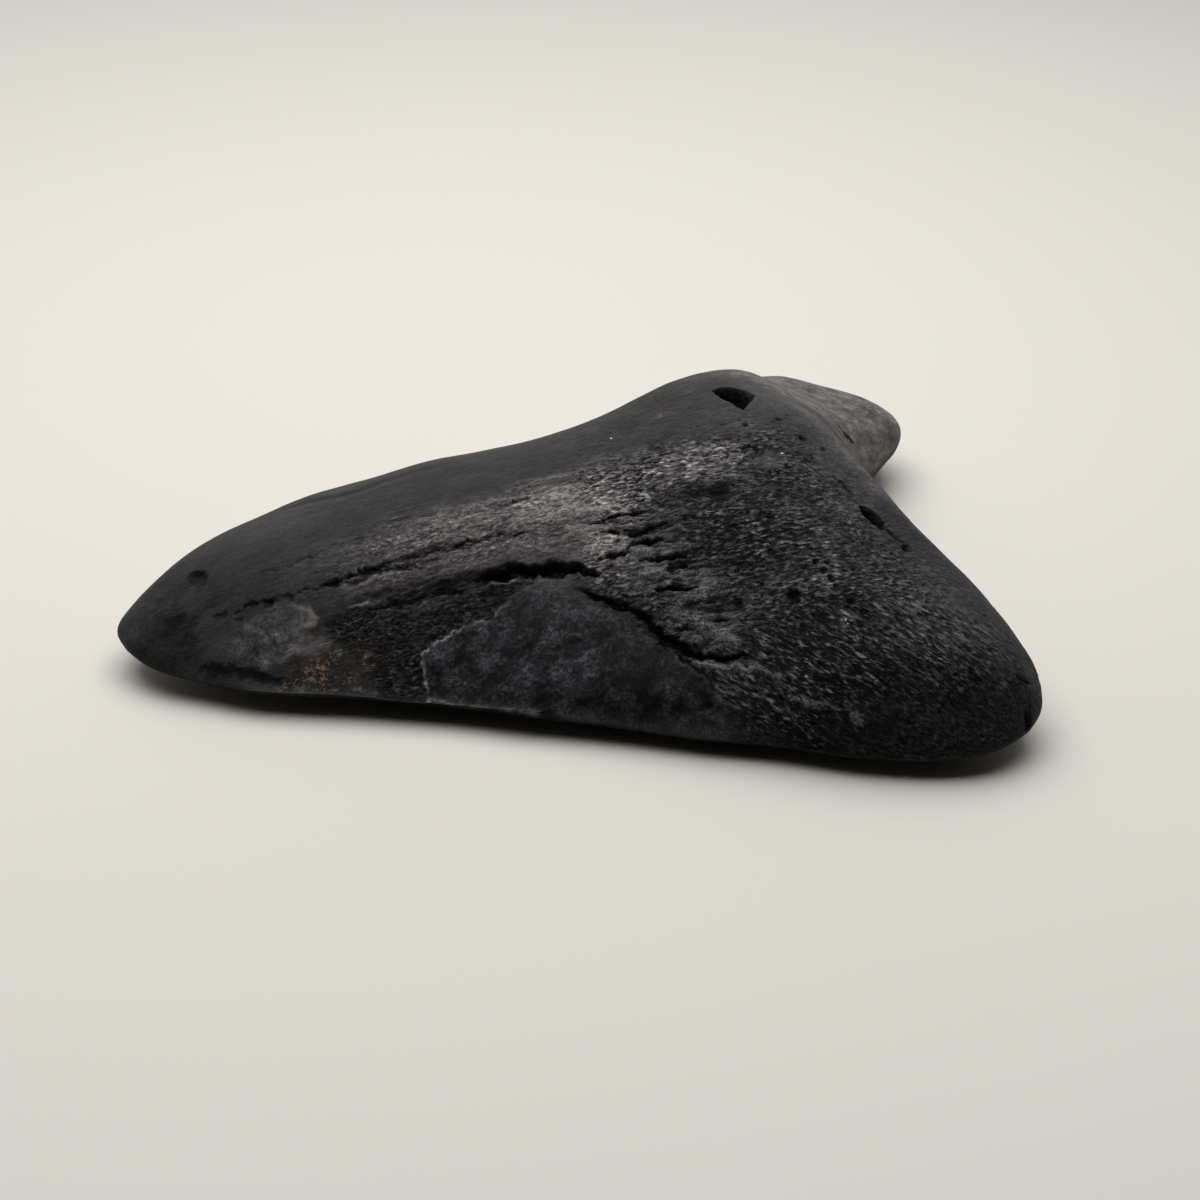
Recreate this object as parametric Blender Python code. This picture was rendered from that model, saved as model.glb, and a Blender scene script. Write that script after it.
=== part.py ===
"""Megalodon tooth: one water-worn fossil tooth, lying on its flatter face.

The tooth is described as a plan outline, a set of surveyed heights for the domed upper
face, a gently bellied underside with a worn flat that it rests on, and a few open pits.
+X runs from the tip to the root, +Y from the near lobe to the far lobe, +Z is up.
Tables are in millimetres, measured from the ground point under the tip; the mesh is in
metres, with its origin in the middle of the footprint.
"""
import bpy
import numpy as np
from mathutils.geometry import delaunay_2d_cdt

MM = 0.001

# Finished size of the whole tooth.
LENGTH = 125.8
WIDTH = 103.6
THICKNESS = 29.7

# Plan outline, anticlockwise from the tip:
# place, x, y, height of the rim, radius of the upper edge, radius of the lower edge.
OUTLINE = (
    ("tip", -0.8, 1.6, 6.0, 5.0, 8.0),
    ("tip, near side", 0.8, -3.4, 5.0, 4.0, 8.0),
    ("near cutting edge 1", 4.6, -7.6, 4.2, 3.0, 9.0),
    ("near cutting edge 2", 10.0, -10.8, 3.6, 2.2, 10.0),
    ("near cutting edge 3", 18.0, -15.0, 4.2, 1.6, 11.0),
    ("near cutting edge 4", 28.0, -17.7, 4.4, 1.5, 12.0),
    ("near cutting edge 5", 41.4, -21.6, 4.2, 1.5, 13.0),
    ("near cutting edge 6", 55.0, -26.4, 4.0, 1.5, 13.0),
    ("near cutting edge 7", 66.0, -30.3, 3.3, 1.8, 12.0),
    ("near shoulder", 77.5, -35.0, 2.9, 2.2, 10.0),
    ("near shoulder dip", 86.0, -38.0, 3.4, 3.5, 10.0),
    ("near lobe 1", 94.5, -41.9, 3.1, 5.0, 9.0),
    ("near lobe 2", 104.5, -44.9, 3.3, 7.0, 9.0),
    ("near lobe 3", 115.0, -45.0, 4.0, 8.0, 9.0),
    ("near lobe 4", 121.8, -40.4, 5.3, 8.0, 10.0),
    ("near lobe end", 123.8, -32.6, 7.0, 8.0, 11.0),
    ("basal face 1", 121.8, -24.0, 8.5, 7.5, 10.0),
    ("basal face 2", 117.4, -12.5, 9.0, 7.5, 9.0),
    ("notch 1", 112.8, 0.0, 10.0, 8.0, 8.0),
    ("notch 2", 109.8, 12.0, 10.0, 8.0, 8.0),
    ("basal face 3", 113.0, 23.0, 9.0, 7.5, 9.0),
    ("basal face 4", 120.0, 33.5, 8.0, 7.0, 10.0),
    ("far lobe end", 125.0, 43.0, 7.5, 7.5, 12.0),
    ("far lobe 1", 121.8, 51.6, 7.5, 8.0, 12.0),
    ("far lobe 2", 114.5, 57.0, 7.0, 8.0, 12.0),
    ("far lobe 3", 105.5, 58.0, 6.5, 7.5, 13.0),
    ("far lobe 4", 96.0, 55.5, 6.0, 6.5, 14.0),
    ("far shoulder 1", 86.0, 50.3, 5.5, 5.5, 14.0),
    ("far shoulder 2", 76.0, 44.5, 5.0, 4.5, 14.0),
    ("far cutting edge 1", 65.0, 39.6, 5.0, 4.0, 14.0),
    ("far cutting edge 2", 52.0, 35.2, 5.0, 4.0, 13.0),
    ("far cutting edge 3", 38.0, 30.4, 5.0, 4.0, 12.0),
    ("far cutting edge 4", 26.0, 24.8, 5.0, 4.0, 12.0),
    ("far cutting edge 5", 16.0, 18.6, 5.0, 4.0, 11.0),
    ("far cutting edge 6", 8.0, 12.6, 5.5, 4.5, 10.0),
    ("tip, far side", 2.2, 7.0, 6.0, 5.0, 9.0),
)

# Heights of the upper face: x, y, z.
CREST = (
    (2.5, 1.8, 9.2),
    (9.0, 2.0, 12.7),
    (21.0, 4.0, 17.3),
    (43.0, 5.5, 21.9),
    (61.0, 5.0, 24.1),
    (75.0, 5.0, 26.3),
    (88.0, 6.0, 28.8),
    (96.0, 9.0, 29.3),
    (103.0, 10.0, 27.0),
)
FAR_CROWN_SIDE = (
    (21.0, 14.0, 15.2),
    (45.0, 20.0, 19.6),
    (43.0, 27.0, 14.9),
    (66.0, 25.0, 20.7),
    (66.0, 33.5, 14.6),
    (80.0, 40.0, 15.2),
)
ROOT_HUMP = (
    (82.0, 27.0, 26.1),
    (94.0, 20.0, 28.8),
    (95.0, 31.0, 26.5),
    (97.0, 40.0, 20.6),
    (103.0, 22.0, 24.0),
    (106.0, -8.0, 23.0),
    (95.0, -12.0, 24.5),
)
FAR_LOBE = (
    (105.0, 46.0, 17.8),
    (106.0, 52.0, 13.0),
    (116.0, 45.0, 14.4),
    (111.0, 34.0, 17.0),
)
NEAR_CROWN_SIDE = (
    (21.0, -7.0, 13.2),
    (21.0, -13.0, 6.0),
    (43.0, -6.0, 18.2),
    (43.0, -14.0, 11.5),
    (43.0, -19.2, 5.4),
    (62.0, -8.0, 20.5),
    (62.0, -21.0, 12.2),
    (62.0, -27.6, 6.0),
    (78.0, -14.0, 21.5),
    (78.0, -28.0, 13.0),
    (78.0, -35.0, 7.0),
)
NEAR_LOBE = (
    (95.0, -30.0, 17.0),
    (104.0, -24.0, 20.0),
    (106.0, -38.0, 14.2),
    (115.5, -32.0, 14.8),
)
UPPER_FACE = CREST + FAR_CROWN_SIDE + ROOT_HUMP + FAR_LOBE + NEAR_CROWN_SIDE + NEAR_LOBE
PLATE_SOFTNESS = 0.05    # lets the upper face miss a height by a little, to stay smooth

# Worn flat on the underside: an oval, level with the surface the tooth lies on.
REST_CENTRE = (76.0, 4.0)
REST_HALF_LENGTH = 24.0
REST_HALF_WIDTH = 17.0
BELLY_REACH = 40.0       # at this distance outside the flat ...
BELLY_RISE = 2.0         # ... the underside has risen by this much
BELLY_TOP = 0.8          # and it never passes this share of the rim's height

# Open pits in the upper face: corners of the mouth in plan, depth under the mouth.
ROOT_HOLE = (
    (87.8, 16.6), (89.4, 17.4), (92.2, 16.8), (93.9, 14.3), (92.2, 11.6), (91.0, 10.0),
    (90.0, 12.4), (88.8, 14.4),
)
BASAL_HOLE = (
    (104.0, -9.8), (105.6, -10.8), (106.7, -12.4), (106.2, -14.5), (104.8, -13.6), (103.5, -11.6),
)
TIP_PIT = ((10.1, 1.5), (11.4, 2.3), (12.7, 1.0), (11.4, -0.5))
ROOT_PIT = ((89.6, -25.1), (91.0, -24.0), (92.4, -25.1), (91.0, -26.2))
PITS = ((ROOT_HOLE, 7.0), (BASAL_HOLE, 4.5), (TIP_PIT, 1.4), (ROOT_PIT, 1.6))
PIT_STEP = 1.5           # spacing of points round a pit's mouth
PIT_FLOOR_SHARE = 0.7    # the floor is the mouth, shrunk to this share
PIT_FLOOR_MARGIN = 1.05  # so that the floor's own corners count as inside it
PIT_CLEARANCE = 1.1      # nothing else stands this close to a pit's mouth

# Mesh spacing in plan.
SPLINE_PIECES = 12
OUTLINE_STEP = 2.3
UPPER_SPACING = 2.2
UNDER_SPACING = 3.6
UPPER_RINGS = (0.35, 1.0, 2.0, 3.5, 5.4)
UNDER_RINGS = (0.7, 2.2, 4.8, 8.2)
CDT_INSIDE = 1           # keep only the triangles inside the first loop
CDT_EPSILON = 1e-5

# Fossil: charcoal black, matt, not metallic.
CHARCOAL = (0.035, 0.036, 0.038, 1.0)
CHARCOAL_ROUGHNESS = 0.62


def closed_spline(rows, pieces):
    """Smooth closed curve through the rows (centripetal Catmull-Rom)."""
    rows = np.asarray(rows, dtype=float)
    count = len(rows)
    curve = []
    for i in range(count):
        p0, p1, p2, p3 = rows[i - 1], rows[i], rows[(i + 1) % count], rows[(i + 2) % count]
        t01 = np.linalg.norm((p1 - p0)[:2]) ** 0.5
        t12 = np.linalg.norm((p2 - p1)[:2]) ** 0.5
        t23 = np.linalg.norm((p3 - p2)[:2]) ** 0.5
        m1 = t12 * ((p1 - p0) / t01 - (p2 - p0) / (t01 + t12) + (p2 - p1) / t12)
        m2 = t12 * ((p2 - p1) / t12 - (p3 - p1) / (t12 + t23) + (p3 - p2) / t23)
        for k in range(pieces):
            t = k / pieces
            start = (2 * t ** 3 - 3 * t ** 2 + 1) * p1 + (t ** 3 - 2 * t ** 2 + t) * m1
            end = (3 * t ** 2 - 2 * t ** 3) * p2 + (t ** 3 - t ** 2) * m2
            curve.append(start + end)
    return np.array(curve)


def resample(curve, step):
    """The closed curve with its points about one step apart."""
    ring = np.vstack([curve, curve[:1]])
    run = np.concatenate([[0.0], np.cumsum(np.linalg.norm(np.diff(ring[:, :2], axis=0), axis=1))])
    stops = np.linspace(0.0, run[-1], int(round(run[-1] / step)), endpoint=False)
    columns = [np.interp(stops, run, ring[:, j]) for j in range(ring.shape[1])]
    return np.column_stack(columns)


def inside(points, loop):
    """Which plan points lie inside the closed loop."""
    x, y = points.T
    result = np.zeros(len(points), dtype=bool)
    for (ax, ay), (bx, by) in zip(loop, np.roll(loop, -1, axis=0)):
        crosses = (ay > y) != (by > y)
        rise = by - ay if by != ay else 1.0
        result ^= crosses & (x < ax + (bx - ax) * (y - ay) / rise)
    return result


def distance_to_loop(points, loop):
    """Distance from each plan point to the closed loop."""
    ends = np.roll(loop, -1, axis=0)
    along = ends - loop
    offset = points[:, None, :] - loop[None, :, :]
    share = np.clip((offset * along).sum(axis=2) / (along ** 2).sum(axis=1), 0.0, 1.0)
    return np.linalg.norm(offset - share[:, :, None] * along, axis=2).min(axis=1)


def plate(radius):
    """Thin-plate kernel."""
    safe = np.maximum(radius, 1e-9)
    return safe ** 2 * np.log(safe / 50.0) / 25.0


def fit_plate(heights):
    """Weights of the thin plate that runs through the surveyed heights."""
    table = np.array(heights)
    size = len(table)
    system = np.zeros((size + 3, size + 3))
    spread = np.linalg.norm(table[:, None, :2] - table[None, :, :2], axis=2)
    system[:size, :size] = plate(spread) + PLATE_SOFTNESS * np.eye(size)
    system[:size, size] = 1.0
    system[:size, size + 1:] = table[:, :2]
    system[size, :size] = 1.0
    system[size + 1:, :size] = table[:, :2].T
    return table, np.linalg.solve(system, np.concatenate([table[:, 2], np.zeros(3)]))


OUTLINE_CURVE = resample(closed_spline([row[1:] for row in OUTLINE], SPLINE_PIECES), 1.0)
PLATE_POINTS, PLATE_WEIGHTS = fit_plate(UPPER_FACE)


def rim_at(points):
    """Distance to the outline, and the rim's height and edge radii beside each point."""
    loop = OUTLINE_CURVE[:, :2]
    distance = distance_to_loop(points, loop)
    spread = np.linalg.norm(points[:, None, :] - loop[None, :, :], axis=2)
    reach = (4.0 + 0.5 * distance)[:, None]
    weights = np.exp((spread.min(axis=1)[:, None] ** 2 - spread ** 2) / (2.0 * reach ** 2))
    values = weights @ OUTLINE_CURVE[:, 2:] / weights.sum(axis=1)[:, None]
    return distance, values.T


def rounding(share):
    """Quarter-circle profile: 0 at the edge, 1 from one radius inwards."""
    return np.sqrt(1.0 - (1.0 - np.clip(share, 0.0, 1.0)) ** 2)


def upper_height(points):
    """Height of the domed upper face."""
    distance, (rim, radius, _) = rim_at(points)
    spread = np.linalg.norm(points[:, None, :] - PLATE_POINTS[None, :, :2], axis=2)
    size = len(PLATE_POINTS)
    dome = plate(spread) @ PLATE_WEIGHTS[:size] + PLATE_WEIGHTS[size] + points @ PLATE_WEIGHTS[size + 1:]
    return rim + (dome - rim) * rounding(distance / radius)


def under_height(points):
    """Height of the underside: flat in the worn oval, rising gently outside it."""
    distance, (rim, _, radius) = rim_at(points)
    from_centre = points - np.array(REST_CENTRE)
    oval = np.linalg.norm(from_centre / (REST_HALF_LENGTH, REST_HALF_WIDTH), axis=1)
    outside = np.linalg.norm(from_centre, axis=1) * np.maximum(1.0 - 1.0 / np.maximum(oval, 1e-6), 0.0)
    belly = np.minimum(BELLY_RISE * (outside / BELLY_REACH) ** 2, BELLY_TOP * rim)
    return belly + (rim - belly) * (1.0 - rounding(distance / radius))


def offset_ring(loop, offset):
    """Points set inwards from an anticlockwise loop, without those that crowd."""
    chord = np.roll(loop, -1, axis=0) - np.roll(loop, 1, axis=0)
    inward = np.column_stack([-chord[:, 1], chord[:, 0]]) / np.linalg.norm(chord, axis=1)[:, None]
    ring = loop + inward * offset
    return ring[distance_to_loop(ring, loop) > 0.9 * offset]


def plan_points(loop, rings, spacing):
    """Rings along the outline, then a triangular grid over the rest."""
    sets = [offset_ring(loop, offset) for offset in rings]
    low, high = loop.min(axis=0), loop.max(axis=0)
    rows = np.arange(low[1], high[1], spacing * 0.866)
    grid = []
    for k, y in enumerate(rows):
        x = np.arange(low[0] + 0.5 * spacing * (k % 2), high[0], spacing)
        grid.append(np.column_stack([x, np.full(len(x), y)]))
    grid = np.vstack(grid)
    grid = grid[inside(grid, loop)]
    sets.append(grid[distance_to_loop(grid, loop) > rings[-1] + 0.65 * spacing])
    return np.vstack(sets)


def triangulate(loops, loose):
    """Delaunay triangles inside the first loop, with every loop's edges kept."""
    points = np.vstack(list(loops) + [loose])
    edges = []
    start = 0
    for loop in loops:
        size = len(loop)
        edges += [(start + k, start + (k + 1) % size) for k in range(size)]
        start += size
    face = list(range(len(loops[0])))
    out = delaunay_2d_cdt([tuple(p) for p in points], edges, [face], CDT_INSIDE, CDT_EPSILON)
    source = [members[0] for members in out[3]]
    triangles = np.array([[source[v] for v in triangle] for triangle in out[2]])
    a, b, c = (points[triangles[:, k]] for k in range(3))
    turn = (b[:, 0] - a[:, 0]) * (c[:, 1] - a[:, 1]) - (b[:, 1] - a[:, 1]) * (c[:, 0] - a[:, 0])
    triangles[turn < 0.0] = triangles[turn < 0.0][:, ::-1]
    return points, triangles


def pit_loops():
    """Mouth and floor of each pit in plan, with the floor's height."""
    pits = []
    for corners, depth in PITS:
        mouth = resample(closed_spline(corners, SPLINE_PIECES), PIT_STEP)
        middle = mouth.mean(axis=0)
        floor = middle + (mouth - middle) * PIT_FLOOR_SHARE
        level = upper_height(mouth).min() - depth
        pits.append((mouth, floor, middle, level))
    return pits


def upper_sheet(outline):
    """Points and triangles of the upper face, with its pits."""
    pits = pit_loops()
    loose = plan_points(outline, UPPER_RINGS, UPPER_SPACING)
    for mouth, _, _, _ in pits:
        loose = loose[~inside(loose, mouth)]
        loose = loose[distance_to_loop(loose, mouth) > PIT_CLEARANCE]
    middles = np.array([pit[2] for pit in pits])
    loops = [outline] + [pit[0] for pit in pits] + [pit[1] for pit in pits]
    points, triangles = triangulate(loops, np.vstack([middles, loose]))
    height = upper_height(points)
    for _, floor, _, level in pits:
        middle = floor.mean(axis=0)
        height[inside(points, middle + (floor - middle) * PIT_FLOOR_MARGIN)] = level
    return np.column_stack([points, height]), triangles


def under_sheet(outline):
    """Points and triangles of the underside."""
    points, triangles = triangulate([outline], plan_points(outline, UNDER_RINGS, UNDER_SPACING))
    return np.column_stack([points, under_height(points)]), triangles


def closed_tooth():
    """Vertices and faces of the whole tooth, in metres about its own origin."""
    outline = resample(OUTLINE_CURVE, OUTLINE_STEP)[:, :2]
    rim = len(outline)
    upper, upper_faces = upper_sheet(outline)
    under, under_faces = under_sheet(outline)
    shared = np.concatenate([np.arange(rim), len(upper) + np.arange(len(under) - rim)])
    vertices = np.vstack([upper, under[rim:]])
    faces = np.vstack([upper_faces, shared[under_faces][:, ::-1]])
    low, high = vertices.min(axis=0), vertices.max(axis=0)
    origin = np.array([(low[0] + high[0]) / 2.0, (low[1] + high[1]) / 2.0, 0.0])
    scale = np.array([LENGTH, WIDTH, THICKNESS]) / (high - low)
    return (vertices - origin) * scale * MM, faces


def fossil_material():
    material = bpy.data.materials.new("fossil")
    material.use_nodes = True
    shader = material.node_tree.nodes["Principled BSDF"]
    shader.inputs["Base Color"].default_value = CHARCOAL
    shader.inputs["Roughness"].default_value = CHARCOAL_ROUGHNESS
    shader.inputs["Metallic"].default_value = 0.0
    material.diffuse_color = CHARCOAL
    return material


def build():
    for item in list(bpy.data.objects):
        bpy.data.objects.remove(item, do_unlink=True)
    vertices, faces = closed_tooth()
    mesh = bpy.data.meshes.new("tooth")
    mesh.from_pydata(vertices.tolist(), [], faces.tolist())
    mesh.validate()
    mesh.shade_smooth()
    mesh.materials.append(fossil_material())
    tooth = bpy.data.objects.new("tooth", mesh)
    bpy.context.scene.collection.objects.link(tooth)


build()
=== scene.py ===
import itertools
import math

import bmesh
import bpy
import numpy as np
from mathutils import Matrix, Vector


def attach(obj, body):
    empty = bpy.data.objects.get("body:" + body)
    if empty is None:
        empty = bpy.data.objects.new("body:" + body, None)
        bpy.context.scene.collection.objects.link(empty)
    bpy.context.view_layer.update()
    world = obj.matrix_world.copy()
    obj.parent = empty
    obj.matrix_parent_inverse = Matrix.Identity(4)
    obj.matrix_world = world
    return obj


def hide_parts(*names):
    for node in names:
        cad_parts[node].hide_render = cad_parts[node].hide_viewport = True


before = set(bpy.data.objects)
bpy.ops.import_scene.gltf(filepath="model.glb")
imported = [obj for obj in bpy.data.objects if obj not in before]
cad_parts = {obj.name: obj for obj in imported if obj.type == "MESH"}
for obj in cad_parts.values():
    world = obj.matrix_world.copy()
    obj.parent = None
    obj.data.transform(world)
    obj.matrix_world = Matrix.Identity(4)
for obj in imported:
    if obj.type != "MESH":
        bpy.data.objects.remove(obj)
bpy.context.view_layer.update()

# Lengths are in millimetres, and in metres only where a comment says so. Plan positions
# are measured from the ground point under the tip, with X towards the root and Y away
# from the side with the enamel.
MM = 0.001
TIP_FROM_ORIGIN = np.array([62.1, 6.29, 0.0])

# Directions of the grain: plan angle and climb, in degrees.
CROWN_GRAIN = (3.0, 13.0)
FRACTURE_GRAIN = (-1.0, 13.0)
ROOT_GRAIN = (-4.0, 8.0)
NEAR_LOBE_GRAIN = (-40.0, -14.0)
FAR_LOBE_GRAIN = (45.0, -25.0)
NECK_GRAIN = (-8.0, 6.0)
NO_GRAIN = (0.0, 0.0)


# ---------------- noise
# An integer hash: a multiplier for each axis and for the seed, then rounds of a shift and a multiplier.
AXIS_FACTORS = (73856093, 19349663, 83492791)
SEED_FACTOR = 2654435761
HASH_ROUNDS = ((16, 0x7FEB352D), (15, 0x846CA68B))
LAST_SHIFT = 16
WORD = 0xFFFFFFFF
TEN_BITS = 1023
TWELVE_BITS = 4095
SECOND_SEED = 77
RIDGE_SHARPNESS = 3.2
# Farther, in cells, than any nearest point.
FAR_AWAY = 9.0
GRADIENTS = np.array(
    [(1, 1, 0), (-1, 1, 0), (1, -1, 0), (-1, -1, 0), (1, 0, 1), (-1, 0, 1), (1, 0, -1), (-1, 0, -1),
     (0, 1, 1), (0, -1, 1), (0, 1, -1), (0, -1, -1), (1, 1, 0), (-1, 1, 0), (0, -1, 1), (0, -1, -1)],
    dtype=np.float32,
)


def scrambled(cell, seed):
    """A random whole number for each cell, the same in every run."""
    with np.errstate(over="ignore"):
        h = np.uint32((seed * SEED_FACTOR) & WORD)
        for axis, factor in enumerate(AXIS_FACTORS):
            h = h ^ (cell[axis] * np.uint32(factor))
        for shift, factor in HASH_ROUNDS:
            h = (h ^ (h >> np.uint32(shift))) * np.uint32(factor)
        return h ^ (h >> np.uint32(LAST_SHIFT))


def noise(p, seed):
    """Smooth gradient noise, about -1 to 1, at the points p in cells."""
    low = np.floor(p)
    f = (p - low).astype(np.float32)
    low = low.astype(np.int64).astype(np.uint32)
    ease = f * f * f * (f * (f * 6 - 15) + 10)
    total = np.zeros(len(p), dtype=np.float32)
    for i, j, k in itertools.product((0, 1), repeat=3):
        h = scrambled((low[:, 0] + np.uint32(i), low[:, 1] + np.uint32(j), low[:, 2] + np.uint32(k)), seed)
        g = GRADIENTS[h % np.uint32(len(GRADIENTS))]
        dot = g[:, 0] * (f[:, 0] - i) + g[:, 1] * (f[:, 1] - j) + g[:, 2] * (f[:, 2] - k)
        wx, wy, wz = (ease[:, axis] if step else 1 - ease[:, axis] for axis, step in enumerate((i, j, k)))
        total += dot * wx * wy * wz
    return total


def layered(p, seed, octaves=3, gain=0.5):
    total = 0
    for octave in range(octaves):
        total = total + gain ** octave * noise(p * 2.0 ** octave, seed + octave)
    return total


def ridged(p, seed, octaves=2, gain=0.5):
    """Noise with sharp crests, about -1 to 1."""
    total = 0
    for octave in range(octaves):
        crests = 1 - RIDGE_SHARPNESS * np.abs(noise(p * 2.0 ** octave, seed + octave))
        total = total + gain ** octave * crests
    return total


def cells(p, seed, keep):
    """Distance to the nearest random point, one in each kept cell, and a number that belongs to it."""
    low = np.floor(p)
    best = np.full(len(p), FAR_AWAY, dtype=np.float32)
    mark = np.zeros(len(p), dtype=np.float32)
    for step in itertools.product((-1, 0, 1), repeat=3):
        corner = low + step
        cell = corner.astype(np.int64).astype(np.uint32).T
        h = scrambled(cell, seed)
        at = np.stack([(h >> np.uint32(shift)) & np.uint32(TEN_BITS) for shift in (0, 10, 20)], axis=1)
        away = corner + at / TEN_BITS - p
        distance = np.sqrt((away ** 2).sum(axis=1)).astype(np.float32)
        number = (scrambled(cell, seed + SECOND_SEED) & np.uint32(TWELVE_BITS)) / TWELVE_BITS
        nearer = (number < keep) & (distance < best)
        best = np.where(nearer, distance, best)
        mark = np.where(nearer, number / keep, mark)
    return best, mark


# ---------------- drawing on the tooth
def smooth(a, b, x):
    """0 at a, 1 at b and an even curve between; a may be the larger."""
    t = np.clip((x - a) / (b - a), 0, 1)
    return t * t * (3 - 2 * t)


def bell(distance, width):
    return np.exp(-(distance / width) ** 2)


def faded_ends(part, share):
    """1 along a line, with a share of it at each end faded out."""
    return smooth(0, share, part) * smooth(1, 1 - share, part)


def along(p, grain, length, across):
    """Points in cells that are long in one direction: its plan angle and its climb, in degrees."""
    turn, climb = math.radians(grain[0]), math.radians(grain[1])
    level = p[:, 0] * math.cos(turn) + p[:, 1] * math.sin(turn)
    v = -p[:, 0] * math.sin(turn) + p[:, 1] * math.cos(turn)
    u = level * math.cos(climb) + p[:, 2] * math.sin(climb)
    w = -level * math.sin(climb) + p[:, 2] * math.cos(climb)
    return np.stack([u / length, v / across, w / across], axis=1)


def to_line(xy, line):
    """Distance to a line of plan points, how far along it (0 to 1) and the side (1 is left, -1 right)."""
    line = np.asarray(line, dtype=float)
    steps = np.linalg.norm(np.diff(line, axis=0), axis=1)
    starts = np.concatenate([[0], np.cumsum(steps)])
    best = np.full(len(xy), np.inf)
    part = np.zeros(len(xy))
    side = np.zeros(len(xy))
    for i, (a, b) in enumerate(zip(line[:-1], line[1:])):
        d = b - a
        r = xy - a
        t = np.clip((r @ d) / (d @ d), 0, 1)
        off = r - t[:, None] * d
        dist = np.sqrt((off ** 2).sum(axis=1))
        nearer = dist < best
        best = np.where(nearer, dist, best)
        part = np.where(nearer, (starts[i] + t * steps[i]) / starts[-1], part)
        side = np.where(nearer, np.sign(d[0] * r[:, 1] - d[1] * r[:, 0]), side)
    return best, part, side


def inside_of(xy, outline):
    """Signed distance to a closed outline, positive inside."""
    outline = np.asarray(outline, dtype=float)
    closed = np.vstack([outline, outline[:1]])
    dist = to_line(xy, closed)[0]
    odd = np.zeros(len(xy), dtype=bool)
    for a, b in zip(closed[:-1], closed[1:]):
        if a[1] == b[1]:
            continue
        spans = (xy[:, 1] < a[1]) != (xy[:, 1] < b[1])
        odd ^= spans & (xy[:, 0] < (b[0] - a[0]) * (xy[:, 1] - a[1]) / (b[1] - a[1]) + a[0])
    return np.where(odd, dist, -dist)


def patch(xy, outline, soft):
    """1 inside an outline and 0 outside, with a soft edge."""
    return smooth(-soft, soft, inside_of(xy, outline))


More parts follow.
